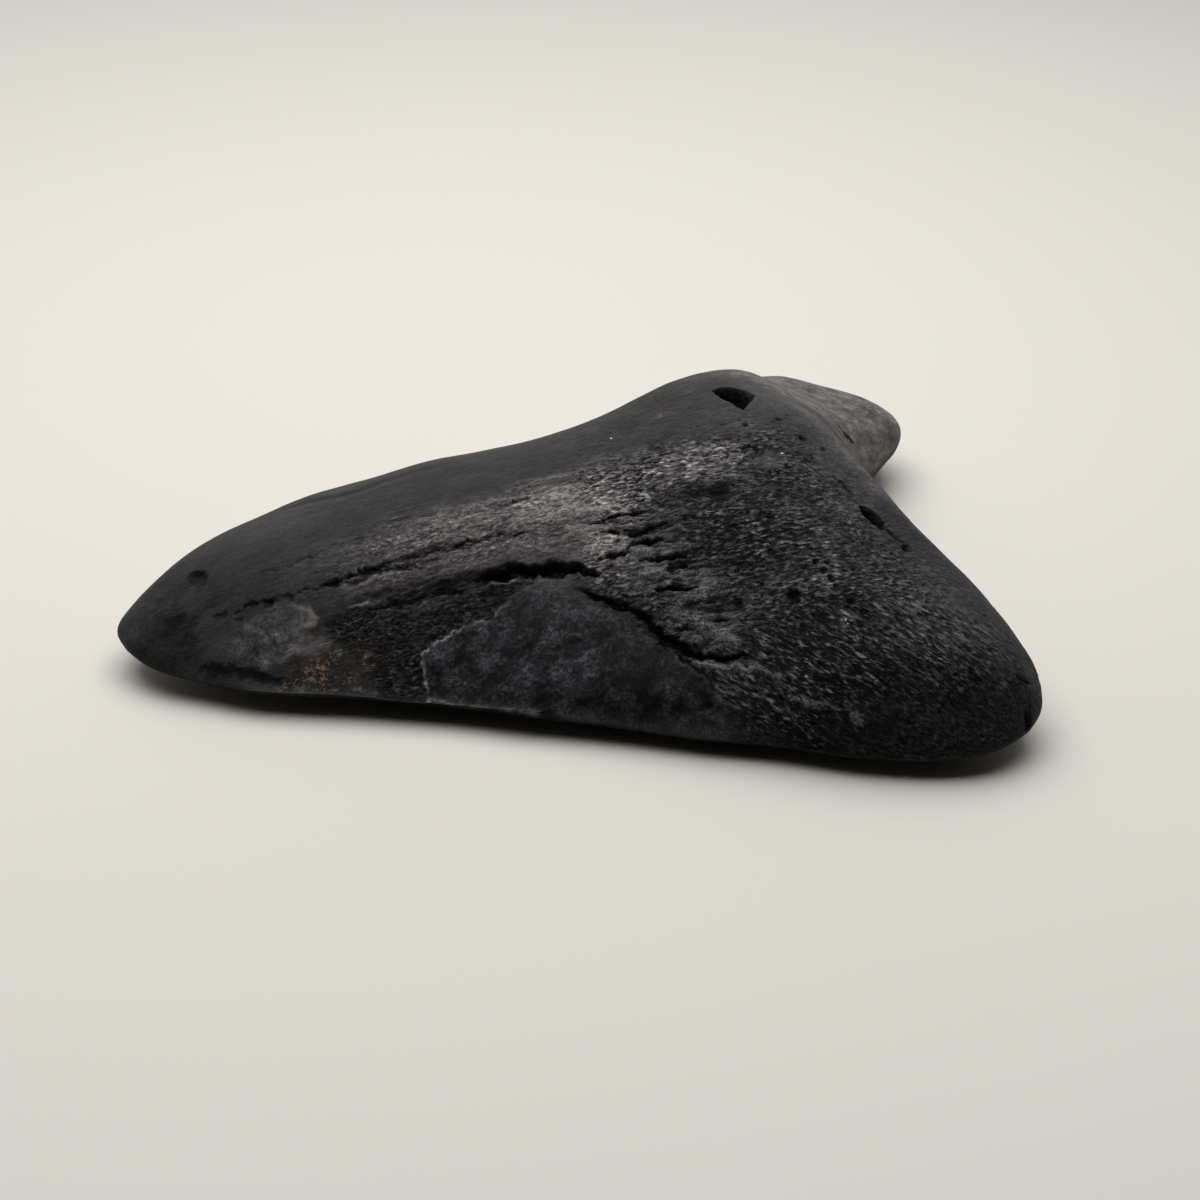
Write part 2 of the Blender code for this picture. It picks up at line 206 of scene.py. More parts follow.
# ---------------- the tooth's marks
# Fissures: line, half width, depth, how ragged (0 to 1).
FISSURES = {
    "crown_start": (
        [(14.8, -6.3), (18.9, -6.7), (21.7, -6.9), (24.1, -6.6), (25.6, -6.6), (28, -6.3)],
        0.2, 0.3, 0.8),
    "crown_long": (
        [(25, -6.5), (28.2, -6.2), (31.1, -5.9), (33.7, -5.5), (35.3, -5.8), (37.5, -5.6), (39.6, -5.7),
         (42.1, -5.4), (45.1, -5.2), (50.4, -5.4), (53.4, -5.3), (58.9, -6.1)], 0.33, 0.7, 0.6),
    "crown_long_low": (
        [(26.9, -6.5), (29.7, -6.4), (32.8, -6.6), (35.3, -6.5), (38.8, -6.5), (43.4, -6.2)],
        0.24, 0.4, 0.6),
    "crown_strand_1": ([(32.8, -5.9), (34.7, -6.1), (36.7, -6.5)], 0.2, 0.3, 0.3),
    "crown_strand_2": ([(35.6, -5.7), (38.8, -6.7), (42.9, -7.4)], 0.22, 0.35, 0.3),
    "crown_strand_3": ([(44.6, -5.8), (47.3, -5.9), (50.1, -6)], 0.2, 0.3, 0.3),
    "crest_line_1": ([(54, 0.1), (56.5, 0.2), (59.2, 0.2)], 0.2, 0.25, 0.3),
    "crest_line_2": ([(59.8, -0.3), (63, -0.7), (66.8, -0.4)], 0.2, 0.2, 0.3),
    "crown_faint": (
        [(19.6, -2.6), (22.2, -2.9), (24.1, -2.8), (24.9, -2.5), (28.7, -1.9), (30.6, -0.7), (32.7, -1.6)],
        0.2, 0.2, 0.7),
    "under_ledge": ([(33, -9.9), (38, -10.5), (41.6, -10.7), (45, -10.9), (49, -11)], 0.4, 0.4, 0.5),
    "plate_border": (
        [(61.5, -14.6), (63.9, -16.2), (66.9, -18.4), (70.8, -21.2), (73.5, -25.2), (76.2, -27.6),
         (79.3, -29.4), (82.6, -30.4), (86.1, -32)], 0.42, 1, 0.45),
    "neck_1": ([(65.4, -6.9), (69.7, -6.8), (74.4, -7.2)], 0.3, 0.94, 0.3),
    "neck_2": ([(67.7, -8.4), (69.6, -9.4), (71.6, -10.2), (77.1, -10.1)], 0.36, 1, 0.3),
    "neck_2b": ([(70.6, -10.9), (74, -10.4), (77.5, -10.8)], 0.26, 0.65, 0.3),
    "neck_3": ([(69.8, -12.1), (72.6, -11.9), (75.8, -12.3)], 0.42, 0.85, 0.3),
    "neck_4": ([(66, -12.2), (68.6, -12.8), (71.2, -12.7)], 0.3, 0.94, 0.3),
    "neck_5": ([(71.2, -14.1), (75.2, -15.4), (79.7, -16.3)], 0.28, 0.85, 0.3),
    "neck_6": ([(75, -16.8), (78.2, -17.3)], 0.32, 0.7, 0.3),
    "neck_7": ([(72.8, -18.8), (76.5, -20), (79.6, -20.8)], 0.28, 0.85, 0.3),
    "root_hair": ([(100.6, -4.4), (101.9, -5.3), (103.1, -7.7), (103.8, -9)], 0.2, 0.28, 0.4),
    "root_after_hole": ([(106.4, -13.6), (107.2, -15.4), (108.4, -17.2), (108.9, -18.8)], 0.32, 0.5, 0.4),
    "lobe_1": ([(111.9, -38.6), (113.6, -40.3)], 0.3, 0.4, 0.2),
    "lobe_2": ([(118.6, -38.4), (120.7, -38.5)], 0.3, 0.35, 0.2),
    "far_lobe": ([(108.9, 25.1), (110.6, 24.5), (112.6, 26)], 0.55, 0.45, 0.3),
    "tip_groove": ([(10, -10), (14.8, -12.1), (20.4, -14), (23, -14.6)], 0.6, 0.3, 0.4),
    "tip_bead_1": ([(12.9, -5.7), (15.3, -6.6)], 0.4, 0.23, 0.4),
    "tip_bead_2": ([(16.2, -7.1), (17.5, -7.5)], 0.29, 0.17, 0.4),
    "tip_bead_3": ([(17.6, -6.3), (19.8, -6.9)], 0.4, 0.3, 0.4),
    "tip_bead_4": ([(20.2, -6.7), (21.8, -7)], 0.44, 0.33, 0.4),
    "fold_1": ([(20.2, -9.2), (21.9, -11.4)], 0.28, 0.16, 0.2),
    "fold_2": ([(18.6, -10.6), (19.3, -12.1)], 0.26, 0.14, 0.2),
    "plate_end": ([(74, -26.6), (76.4, -29.2), (78, -30.8), (79.2, -33.2)], 0.22, 0.25, 0.4),
}
CAVITY = [(48.5, -10.1), (51.2, -9.5), (54.5, -9.3), (57.7, -9.9), (60.9, -11.1), (63.9, -12.4),
          (66.6, -14.2), (66.2, -14.9), (63.4, -14.3), (60.6, -13.2), (55.7, -12.2), (51, -11)]
CAVITY_DEPTH = 2
# The slope that leads into the cavity from the tip side.
VALLEY = [(29.5, -8.6), (33.6, -8.9), (39.2, -9.5), (44.7, -10), (48.9, -10.3), (53, -10.6)]
# Plates of enamel that are left on the near side of the crown.
LARGE_PLATE = [(41, -16.8), (41.4, -16.1), (43.4, -15.5), (46.1, -15.1), (49.1, -14.8), (51.7, -14.7),
               (53.4, -14.3), (53.6, -13.3), (56.5, -13.5), (60.7, -15), (64.7, -18), (68.7, -20.9),
               (71, -22.7), (73.4, -26.1), (76.1, -28.8), (78.6, -31.5), (79, -32.7), (80.5, -35.7),
               (83, -42), (60, -38), (42, -26), (41.3, -19)]
TIP_PLATE = [(11.7, -9.2), (15.2, -8.5), (18.6, -8), (21.8, -7.2), (24.8, -7.6), (26.9, -8.5),
             (27.6, -9.7), (26.7, -10.4), (25, -10.6), (23.8, -11.1), (22.1, -11.5), (20.9, -12),
             (20.5, -13.4), (16.5, -12.3), (11.9, -10.7)]
FRACTURE = [(28.5, -10.5), (32, -9.8), (36.6, -10.2), (41.2, -10.2), (46.5, -10.8), (52, -11.6),
            (57, -12.9), (53.6, -13.2), (52, -14.6), (46.1, -15.1), (41.2, -16.3), (41.2, -20.5),
            (36, -19.5), (34, -17), (35, -14), (30, -12.6)]
RUST = [(20.5, -13.3), (24, -12.9), (26, -12.7), (29, -12.5), (32.5, -13), (35.6, -14.2),
        (36.2, -17.5), (30, -18.5), (20.5, -15.4)]
RUST_SPOTS = {
    "orange": ((26.9, -14.7), (2.3, 1.5), 1),
    "tan": ((34.4, -15.2), (1.2, 1.3), 1),
    "low_edge": ((23, -15.2), (2.6, 0.6), 0.8),
    "speck_a": ((29.8, -13.6), (1, 0.6), 0.8),
    "speck_b": ((31.6, -16.4), (0.9, 0.7), 0.7),
}
# Low steps in the crown: line, half width, rise.
LEDGES = {
    "under_fissure": (
        [(31.4, -9.4), (36.3, -9.5), (39.1, -9.4), (41.9, -9.4), (44.7, -9.4), (47, -9.5)], 0.22, 0.26),
    "over_plate": (
        [(39.4, -11.8), (43.7, -12.2), (46.3, -11.8), (49.6, -11.7), (53.8, -11.6), (56.4, -12.2)],
        0.28, 0.3),
    "near_root": ([(76, -28.7), (79.9, -30.7), (84.4, -32.5), (87, -34.1), (88.2, -35.4)], 0.3, 0.5),
    "near_root_mid": ([(87.5, -36.2), (90.8, -37.9), (94.4, -40)], 0.24, 0.32),
    "near_root_end": ([(95.5, -40.5), (97.7, -41.5)], 0.22, 0.3),
    "crest_1": ([(52.3, 0.9), (55.5, 0.3), (57.3, 0.6), (60.4, 0.6), (63.8, 0.5), (68.3, 1)], 0.28, 0.22),
    "crest_2": ([(58.6, -0.1), (62.9, -0.9), (66.9, -0.9)], 0.3, 0.22),
    "crest_3": ([(58.6, 3.2), (61.6, 3.7), (65.6, 3.6)], 0.24, 0.14),
    "crest_4": ([(62.5, -2.6), (65.8, -4.7), (68.4, -5.1), (71, -4.7)], 0.45, 0.3),
    "neck_a": ([(64.6, -10.6), (67, -11.1), (68.8, -12.4)], 0.55, 0.4),
    "neck_b": ([(70.3, -12.1), (71.7, -13.2), (74.2, -13.4)], 0.5, 0.4),
    "neck_c": ([(70.9, -16.2), (73.6, -16.7), (75.6, -16.5)], 0.5, 0.35),
    "neck_d": ([(62, -6.3), (64.6, -7.6), (67.4, -7.6)], 0.5, 0.3),
    "triangle": ([(74.5, -22.3), (77.2, -24), (80.1, -26.7), (83.3, -29.3)], 0.6, 0.35),
    "flake_a": ([(32.7, -7.2), (35.5, -7.1), (38.8, -7), (42.3, -7.2)], 0.26, 0.22),
    "fracture_a": ([(38.2, -11.4), (41.7, -11.6), (45.1, -11.7)], 0.26, 0.25),
}
# Painted highlight: a thin light line along the near edge.
EDGE_LINE = [(20.9, -14.8), (27.1, -16.7), (32.3, -17.6), (33.3, -18.1), (37.9, -19.5), (43.2, -21.1),
             (48.4, -23.9), (53.6, -25.9), (56.5, -26.6)]
EDGE_LINE_LOW = [(58.9, -27.4), (63.2, -29.2), (71.2, -32.4), (79.2, -35.6), (81.7, -36.4), (84.9, -37.5),
                 (87.2, -38.5)]
# Dusty places: middle, half lengths, how strong.
PALE = {
    "crest": ((61, -2.4), (12, 4), 0.8),
    "crest_pink": ((67.2, -4.2), (4.5, 3), 0.9),
    "crest_mid": ((47, -2.6), (14, 3.2), 0.66),
    "crest_low": ((54, -7.6), (10, 1.6), 0.45),
    "neck": ((67.5, -11), (4, 3), 0.5),
    "root_top": ((82, -0.5), (8, 4.5), 0.96),
    "smooth_by_crescent": ((92.6, -2.4), (3.2, 2), 0.3),
    "root_low_smooth": ((79.5, -20.4), (1.6, 3.6), 0.4),
    "above_plate": ((59.5, -13.9), (4.5, 1.3), 0.35),
    "honeycomb": ((96, -22.8), (2.6, 3.4), 0.5),
    "fleck": ((97.2, -30.5), (0.8, 1.6), 0.95),
    "grey_band": ((25.4, -12), (4.6, 1.1), 0.95),
}
# White specks.
WHITE_DOTS = ((71.9, 10.7), (94.6, -0.8), (97.1, -30.4), (97.3, -30.9))
WHITE_DOT = 0.2
RIDGE_BAND = [(100.5, 15), (102, 11.7), (103.6, 7.2), (105.5, 2.6), (106.9, -1.5), (108.1, -4.5)]
# Mouths of the CAD's own pits, which are filled before the finer ones are cut: middle, reach.
CAD_PITS = (((90.6, 13.9), 4.4), ((105.1, -12.2), 3.1), ((11.4, 0.9), 2), ((91, -25.1), 2))
CAD_PIT_DROP = 0.8
HIGHEST_UNDERSIDE = 8
# Holes: mouth, depth, softness of the lip.
HOLES = {
    "root": (
        [(87.9, 17.1), (89.3, 18), (90.9, 18), (92.9, 17.2), (94.1, 15.3), (93.3, 13.6), (92.2, 11.6),
         (91.2, 10.1), (90.6, 11.2), (90, 12.3), (89.3, 13.1), (88.8, 14), (88.5, 15.3)], 6.5, 0.3),
    "basal": (
        [(103.9, -10.1), (104.7, -10.4), (105.6, -10.7), (106.3, -11.8), (106.6, -13), (106.3, -14.5),
         (105.7, -14.8), (105.1, -14), (104.3, -13), (103.6, -12), (103.6, -11.1)], 4.5, 0.3),
    "root_side": (
        [(89.7, -24.8), (90.7, -24.1), (91.7, -24.4), (92.4, -25.2), (91.9, -26.1), (90.8, -26.3),
         (89.8, -25.8)], 1.3, 0.6),
}
# Pits: centre, radius, depth.
DENTS = {
    "tip_low": ((8.8, -4.2), 1, 0.22),
    "oval_a": ((81.4, -5.6), 1.6, 0.4),
    "oval_b": ((84.4, -6.9), 1.9, 0.45),
    "pore_a": ((95.9, 7.1), 0.5, 0.5),
    "pore_b": ((98.5, 3.1), 0.65, 0.7),
    "pore_c": ((90.8, 6.3), 0.5, 0.35),
    "pore_d": ((101.1, 1.4), 0.45, 0.35),
    "pore_e": ((97.9, -1.8), 0.5, 0.3),
    "after_a": ((108.6, -18), 0.8, 0.6),
    "lobe_edge": ((119.8, -42.3), 0.8, 0.8),
    "small": ((83.7, -24.4), 0.75, 0.55),
    "comb_a": ((94.9, -21.2), 0.55, 0.55),
    "comb_b": ((95.7, -22.6), 0.6, 0.6),
    "comb_c": ((96.6, -24.2), 0.55, 0.5),
    "comb_d": ((96.5, -21.6), 0.45, 0.4),
    "row_a": ((96.9, -25.5), 0.55, 0.45),
    "row_b": ((98.3, -27.7), 0.8, 0.6),
    "row_c": ((99.7, -29.9), 0.6, 0.45),
}
NECK = [(68, -8.5), (72, -12), (77, -18), (79, -25)]
# The near lip of a shallow chip in the far side of the crown.
FAR_CHIP = [(23.5, 14.4), (27, 14.4), (30, 12.6), (32.5, 11), (35.5, 10.6), (38.5, 11.8),
            (42.8, 12.2), (46.9, 11.8), (50.9, 11)]
# Shallow round pit near the tip.
TIP_PIT = [(10, 1.6), (10.4, 2.5), (11.3, 2.7), (12.4, 1.8), (12.8, 0.4), (12.4, -0.8), (11.4, -0.9),
           (10.4, 0.2)]
TIP_PIT_DEPTH = 0.6
CRESCENT = [(89.2, -0.3), (89.4, 0.9), (90.3, 1.5), (91.1, 0.8), (91.2, -0.2)]
WORN_CREST = [(21, -4.4), (24.4, -2.4), (27.7, -1.4), (31.2, -0.3), (35.7, -0.6), (39.3, 1.2),
              (44.5, 0.9), (49.2, 1.2), (54.5, 1.6), (58.1, 3.8), (64.8, 3.6), (70, 5), (76, 4),
              (74, -6), (70, -14), (66, -15.5), (64, -12), (58, -9.4), (51, -8.8),
              (46, -9.6), (38, -9.6), (33, -9), (28, -6.4)]
# Broad painted shade and light, in place of how the lamp falls: darker on the near flank and lobe, in
# hollows and under the tip, lighter on upper parts of the root: middle, half lengths, factor.
PAINTED_LIGHT_AND_SHADE = {
    "near_lobe_low": ((103, -42), (24, 8), 0.32),
    "near_flank": ((60, -25), (30, 9), 0.8),
    "root_hollow": ((84.5, -16), (9, 6.5), 0.4),
    "root_hollow_low": ((76, -23.5), (8, 4.5), 0.48),
    "under_tip": ((5.5, -6.5), (7, 4.5), 0.5),
    "tip_side": ((9, -4.5), (3.2, 1.6), 0.6),
    "smooth_root": ((93, 8), (16, 9), 1.35),
    "smooth_edge": ((101, -8), (6, 14), 1.35),
    "lobe_up": ((110, -28), (8, 9), 1.38),
    "oval": ((83, -6.6), (3.6, 1.8), 0.7),
    "tip_top": ((12, 1), (14, 8), 0.88),
    "root_low": ((93, -30.5), (10, 5), 0.42),
    "root_low_dark": ((91, -37.5), (13, 6), 0.32),
    "plate_right": ((68, -31), (13, 6), 0.5),
}
ROOT_START = [(58, 30), (62, 18), (66.5, 4), (67.5, -6), (64, -14), (70, -22.5),
              (76, -29), (82, -37), (86, -48)]
# Noises: size of a cell, seed.
NOISES = {
    "zones": (6.0, 17),
    "warp": (2.3, 11),
    "fine_warp": (0.9, 13),
    "crumble": (0.55, 15),
    "broad": (13.0, 1),
    "uneven": (5.0, 2),
    "broken": (1.3, 64),
    "rough_top": (3.5, 49),
    "rough_low": (3.0, 48),
    "rough_end": (3.0, 47),
    "patchy": (6.0, 50),
    "plate": (3.0, 61),
    "plate_fine": (1.1, 62),
    "tip_plate": (3.0, 63),
    "fissure_gaps": (1.6, 81),
    "fissure_width": (1.1, 82),
    "contrast": (4.0, 95),
    "rust": ((2.2, 1.2, 1.2), 96),
    "tip_mottle": (2.1, 97),
    "edge": (1.8, 98),
}
# Noises along a grain: kind, whether warped, grain, length and width of a cell, seed, octaves, gain.
GRAINED = {
    "striae": (layered, True, CROWN_GRAIN, 6.0, 0.75, 21, 3, 0.6),
    "flakes": (ridged, True, CROWN_GRAIN, 2.2, 0.80, 25, 2, 0.5),
    "steps": (ridged, True, FRACTURE_GRAIN, 3.2, 0.80, 41, 2, 0.5),
    "root_scales": (ridged, True, ROOT_GRAIN, 3.4, 1.3, 51, 3, 0.6),
    "root_grit": (layered, False, ROOT_GRAIN, 1.4, 0.7, 52, 2, 0.5),
    "lobe_scales": (ridged, True, NEAR_LOBE_GRAIN, 3.4, 1.3, 54, 3, 0.6),
    "lobe_grit": (layered, False, NEAR_LOBE_GRAIN, 1.4, 0.7, 55, 2, 0.5),
    "far_grit": (layered, False, FAR_LOBE_GRAIN, 2.4, 1.4, 57, 2, 0.5),
    "waves": (ridged, True, NECK_GRAIN, 4.6, 1.3, 59, 2, 0.5),
}
# Random points that become pores: grain, length and width of a cell, seed, share of the cells that have one.
ROOT_PORES = (ROOT_GRAIN, 1.5, 0.80, 71, 0.75)
LOBE_PORES = (NEAR_LOBE_GRAIN, 1.7, 0.85, 72, 0.70)
# Fades: the value at which each one starts and the value at which it is full.
FADES = {
    "upper_face": (-0.35, 0.10),
    "root": (-2.0, 2.0),
    "near_lobe_y": (-22.0, -34.0),
    "far_lobe_y": (14.0, 27.0),
    "far_lobe_x": (84.0, 100.0),
    "oval": (1.25, 0.35),
    "plate": (-0.15, 0.35),
    "tip_plate": (-0.30, 0.70),
    "tip_plate_x": (11.5, 18.5),
    "rim_x": (58.0, 44.0),
    "tip_rim_x": (23.5, 25.5),
    "worn_x": (18.0, 44.0),
    "rough_top": (2.0, 8.0),
    "rough_back": (94.0, 103.0),
    "rough_lobe_y": (-24.0, -34.0),
    "rough_low_y": (-37.5, -43.0),
    "rough_end_x": (113.0, 121.0),
    "neck": (7.0, 1.5),
    "pore": (0.42, 0.14),
    "valley": (1.3, 0.2),
    "cavity": (-0.1, 1.2),
    "cavity_dark": (-0.2, 0.7),
    "cavity_dark_x": (50.0, 58.0),
    "dent": (1.25, 0.15),
    "tip_pit": (-0.2, 0.8),
    "edge_side": (-0.9, -0.2),
    "steep": (0.35, 0.0),
    "faces_near": (0.2, -0.2),
    "steep_from_x": (30.0, 45.0),
    "steep_to_x": (97.0, 87.0),
    "flank": (0.30, 0.50),
}


def fade(name, value):
    return smooth(*FADES[name], value)


# How far the warps shift a point, and how far the grain is bent by them.
WARP = 0.55
FINE_WARP = 0.35
CRUMBLE = 0.30
BEND = 0.8
ZONE_WANDER = 3.0


class Surface:
    """The points of the smooth tooth, the zones they are in, and the relief and masks laid on them."""

    def __init__(self, p, normals):
        self.p = p
        self.normals = normals
        self.xy = p[:, :2]
        self.x, self.y = self.xy.T
        self.up = fade("upper_face", normals[:, 2])
        dist, _, side = to_line(self.xy, ROOT_START)
        self.root = fade("root", dist * side)
        self.lobe = self.root * fade("near_lobe_y", self.y)
        wander = ZONE_WANDER * self.noise("zones")
        self.far = self.root * fade("far_lobe_y", self.y + wander) * fade("far_lobe_x", self.x + wander)
        self.warp = WARP * self.pair("warp") + FINE_WARP * self.pair("fine_warp")
        self.crumbled = CRUMBLE * self.pair("crumble")
        self.bent = p + BEND * np.column_stack([self.warp, np.zeros(len(p))])
        self.height = np.zeros(len(p))
        self.crevice = np.zeros(len(p))
        self.lit = np.zeros(len(p))

    def noise(self, name):
        size, seed = NOISES[name]
        return noise(self.p / size, seed)

    def pair(self, name):
        """Two noises, for X and Y."""
        size, seed = NOISES[name]
        return np.stack([noise(self.p / size, seed), noise(self.p / size, seed + 1)], axis=1)

    def grained(self, name):
        kind, warped, grain, length, across, seed, octaves, gain = GRAINED[name]
        return kind(along(self.bent if warped else self.p, grain, length, across), seed, octaves, gain)

    def moved(self, warp, crumble=0.0):
        """Plan positions shifted by the warps, so that what is drawn at them comes out ragged."""
        return self.xy + warp * self.warp + crumble * self.crumbled

    def oval(self, middle, halves, warp=1.2):
        """1 in the middle of an oval place, fading out over its edge."""
        return fade("oval", np.linalg.norm((self.moved(warp) - middle) / halves, axis=1))

    def strongest(self, places, warp):
        """The strongest of a table of ovals at each point."""
        total = np.zeros(len(self.p))
        for middle, halves, strength in places.values():
            total = np.maximum(total, strength * self.oval(middle, halves, warp))
        return total

    # Painted shade: the strongest darkening asked for at each point, in fissures, holes, pits, hollows and
    # troughs.
    def paint_shade(self, amount):
        self.crevice = np.maximum(self.crevice, amount)

    # Painted highlight: the strongest lightening asked for at each point, on lips of ledges, rims of plates
    # and crests of waves.
    def paint_highlight(self, amount):
        self.lit = np.maximum(self.lit, amount)


BROAD_HEIGHT = 0.20
CROWN_UNEVEN = 0.05
ROOT_UNEVEN = 0.06


def unevenness(s):
    s.broad = BROAD_HEIGHT * s.noise("broad") + (CROWN_UNEVEN + ROOT_UNEVEN * s.root) * s.noise("uneven")
    s.height += s.broad


# Rims of the plates: how far in, half width.
RIM = (0.18, 0.24)
TIP_RIM = (0.25, 0.34)
FRACTURE_SOFT = 0.7


def enamel(s):
    """The plates that are left of the enamel, with their rims and a painted highlight on them, and the
    fracture face between them.
    """
    ragged = s.moved(0.7, 0.7)
    large = inside_of(ragged, LARGE_PLATE)
    small = inside_of(ragged, TIP_PLATE)
    s.broken = smooth(-0.45, 0.15, s.noise("broken"))
    s.enamel = s.up * fade("plate", large)
    s.tip_enamel = s.up * fade("tip_plate", small) * fade("tip_plate_x", s.x + 2.0 * s.warp[:, 0])
    s.rim = bell(large - RIM[0], RIM[1]) * fade("rim_x", s.x) * s.up * s.broken
    tip_gaps = 0.3 + 0.7 * s.broken
    s.tip_rim = bell(small - TIP_RIM[0], TIP_RIM[1]) * fade("tip_rim_x", s.x) * s.up * tip_gaps
    s.fracture = s.up * patch(ragged, FRACTURE, FRACTURE_SOFT) * (1 - s.enamel)
    # Painted highlight on the rims of the plates.
    s.paint_highlight(s.rim)
    s.paint_highlight(0.35 * s.tip_rim)


STRIAE_HEIGHT = 0.020
WORN_STRIAE_HEIGHT = 0.17
WORN_FLAKE_HEIGHT = 0.06
WORN_SOFT = 2.8


def crown_grain(s):
    """The crown: almost smooth on the far side, striated and worn on the crest."""
    s.worn = s.up * patch(s.moved(1.5), WORN_CREST, WORN_SOFT) * fade("worn_x", s.x)
    striae = s.grained("striae")
    worn = WORN_STRIAE_HEIGHT * striae + WORN_FLAKE_HEIGHT * s.grained("flakes")
    return STRIAE_HEIGHT * striae + s.worn * worn


# The rough part fades out above a line with this slope that is at y = 0 at this x.
ROUGH_SLOPE = 0.10
ROUGH_CROSSING = 80
ROUGH_BACK_LEAN = 0.45
LEAST_ROUGH = 0.10
# Smoother places in the rough part: middle, half lengths, how much smoother.
CALM = {
    "hollow_low": ((79.5, -20.4), (1.6, 3.6), 0.8),
    "by_crescent": ((92.6, -2.4), (3.2, 2.0), 0.8),
    "hollow": ((78.8, -18.5), (3.0, 1.6), 0.7),
}


def roughness(s):
    """How rough the root is, 0 to 1."""
    top = s.y - ROUGH_SLOPE * (s.x - ROUGH_CROSSING) + 3.0 * s.noise("rough_top")
    rough = 1 - fade("rough_top", top)
    rough *= 1 - 0.85 * fade("rough_back", s.x + ROUGH_BACK_LEAN * s.y)
    rough = np.maximum(rough, 0.85 * fade("rough_lobe_y", s.y))
    rough *= 1 - 0.65 * fade("rough_low_y", s.y + 1.5 * s.noise("rough_low"))
    rough *= 1 - 0.65 * fade("rough_end_x", s.x + 2.5 * s.noise("rough_end"))
    for middle, halves, amount in CALM.values():
        rough *= 1 - amount * s.oval(middle, halves)
    rough *= 1 - 0.35 * s.neck
    return np.maximum(rough, LEAST_ROUGH)


ROOT_HEIGHT = 0.015
ROUGH_HEIGHT = 0.15
WAVE_HEIGHT = 0.22


def root_grain(s):
    """The root: scales that follow the crown and the lobes, and waves across the neck."""
    s.neck = s.up * fade("neck", to_line(s.xy, NECK)[0])
    rough = roughness(s)
    s.rough = s.up * s.root * rough
    s.patchy_rough = rough * (0.75 + 0.5 * s.noise("patchy"))
    middle = 0.8 * s.grained("root_scales") + 0.3 * s.grained("root_grit")
    lobe = 0.8 * s.grained("lobe_scales") + 0.3 * s.grained("lobe_grit")
    bumps = (middle * (1 - s.lobe) + lobe * s.lobe) * (1 - s.far) + s.grained("far_grit") * s.far
    waves = s.grained("waves")
    # Painted highlight on the crests of the neck's waves and painted shade in their troughs.
    s.paint_highlight(0.55 * s.neck * s.root * smooth(0.25, 0.95, waves))
    s.paint_shade(0.60 * s.neck * s.root * smooth(-0.9, -1.9, waves))
    return bumps * (ROOT_HEIGHT + ROUGH_HEIGHT * s.patchy_rough) + s.neck * WAVE_HEIGHT * waves


FRACTURE_STEP = 0.13
FRACTURE_DROP = 0.45
PLATE_HEIGHT = 0.12
PLATE_UNEVEN = 0.06
PLATE_FINE = 0.03
TIP_PLATE_HEIGHT = 0.14
TIP_PLATE_UNEVEN = 0.04
RIM_HEIGHT = 0.26
TIP_RIM_HEIGHT = 0.20


def grain(s):
    """The relief of each zone: crown, root, fracture face and plates."""
    on_crown = (1 - s.root) * (1 - s.fracture) * (1 - np.maximum(s.enamel, s.tip_enamel))
    s.height += s.up * (on_crown * crown_grain(s) + s.root * root_grain(s))
    s.height += s.fracture * (FRACTURE_STEP * s.grained("steps") - FRACTURE_DROP)
    plate = PLATE_HEIGHT + PLATE_UNEVEN * s.noise("plate") + PLATE_FINE * s.noise("plate_fine")
    s.height += s.enamel * plate
    s.height += s.tip_enamel * (TIP_PLATE_HEIGHT + TIP_PLATE_UNEVEN * s.noise("tip_plate"))
    s.height += RIM_HEIGHT * s.rim + TIP_RIM_HEIGHT * s.tip_rim


PORE_DEPTH = 0.16
ROUGH_PORE_DEPTH = 0.20
LEAST_PORE = 0.55


def pores(s):
    """Pores of the root, more and deeper where it is rough."""
    some = np.nonzero(s.up * s.root > 0.02)[0]
    found = [cells(along(s.bent[some], g, length, across), seed, keep)
             for g, length, across, seed, keep in (ROOT_PORES, LOBE_PORES)]
    on_lobe = s.lobe[some] > 0.5
    distance, number = (np.where(on_lobe, b, a) for a, b in zip(*found))
    deep = fade("pore", distance / (LEAST_PORE + (1 - LEAST_PORE) * number))
    rough = np.clip(s.patchy_rough[some], 0, 1)
    kept = number < 0.08 + 0.9 * rough
    here = (s.up * s.root * (1 - 0.8 * s.far))[some]
    amount = deep * kept * here * (PORE_DEPTH + ROUGH_PORE_DEPTH * rough)
    s.height[some] -= amount
    s.pores = np.zeros(len(s.p))
    s.pores[some] = np.clip(amount / 0.34, 0, 1)


def ledges(s):
    for line, width, rise in LEDGES.values():
        dist, part, _ = to_line(s.moved(0.8), line)
        shape = s.up * bell(dist, width) * faded_ends(part, 0.12)
        s.height += rise * shape
        # Painted highlight along the lip of each ledge.
        s.paint_highlight(shape * min(1.0, 2.5 * rise))


def fissures(s):
    gap = smooth(0.20, -0.30, s.noise("fissure_gaps"))
    swell = 1 + 0.8 * s.noise("fissure_width")
    for line, width, depth, rag in FISSURES.values():
        dist, part, _ = to_line(s.moved(1.6 * rag, 0.8), line)
        whole = 1 - smooth(0.4, 0.7, rag) * 0.65 * gap
        wide = width * (0.40 + 0.60 * np.sin(np.pi * part)) * swell
        shape = s.up * smooth(1.5 * wide, 0.15 * wide, dist) * faded_ends(part, 0.16) * whole
        s.height -= depth * shape
        # Painted shade in each fissure.
        s.paint_shade(shape * min(1.0, 2.0 * depth))


# Values at the start of the valley and what is added by its end: half width, depth and painted shade.
VALLEY_HALF = (0.65, 0.50)
VALLEY_DEPTH = (0.20, 0.40)
VALLEY_SHADE = (0.34, 0.28)


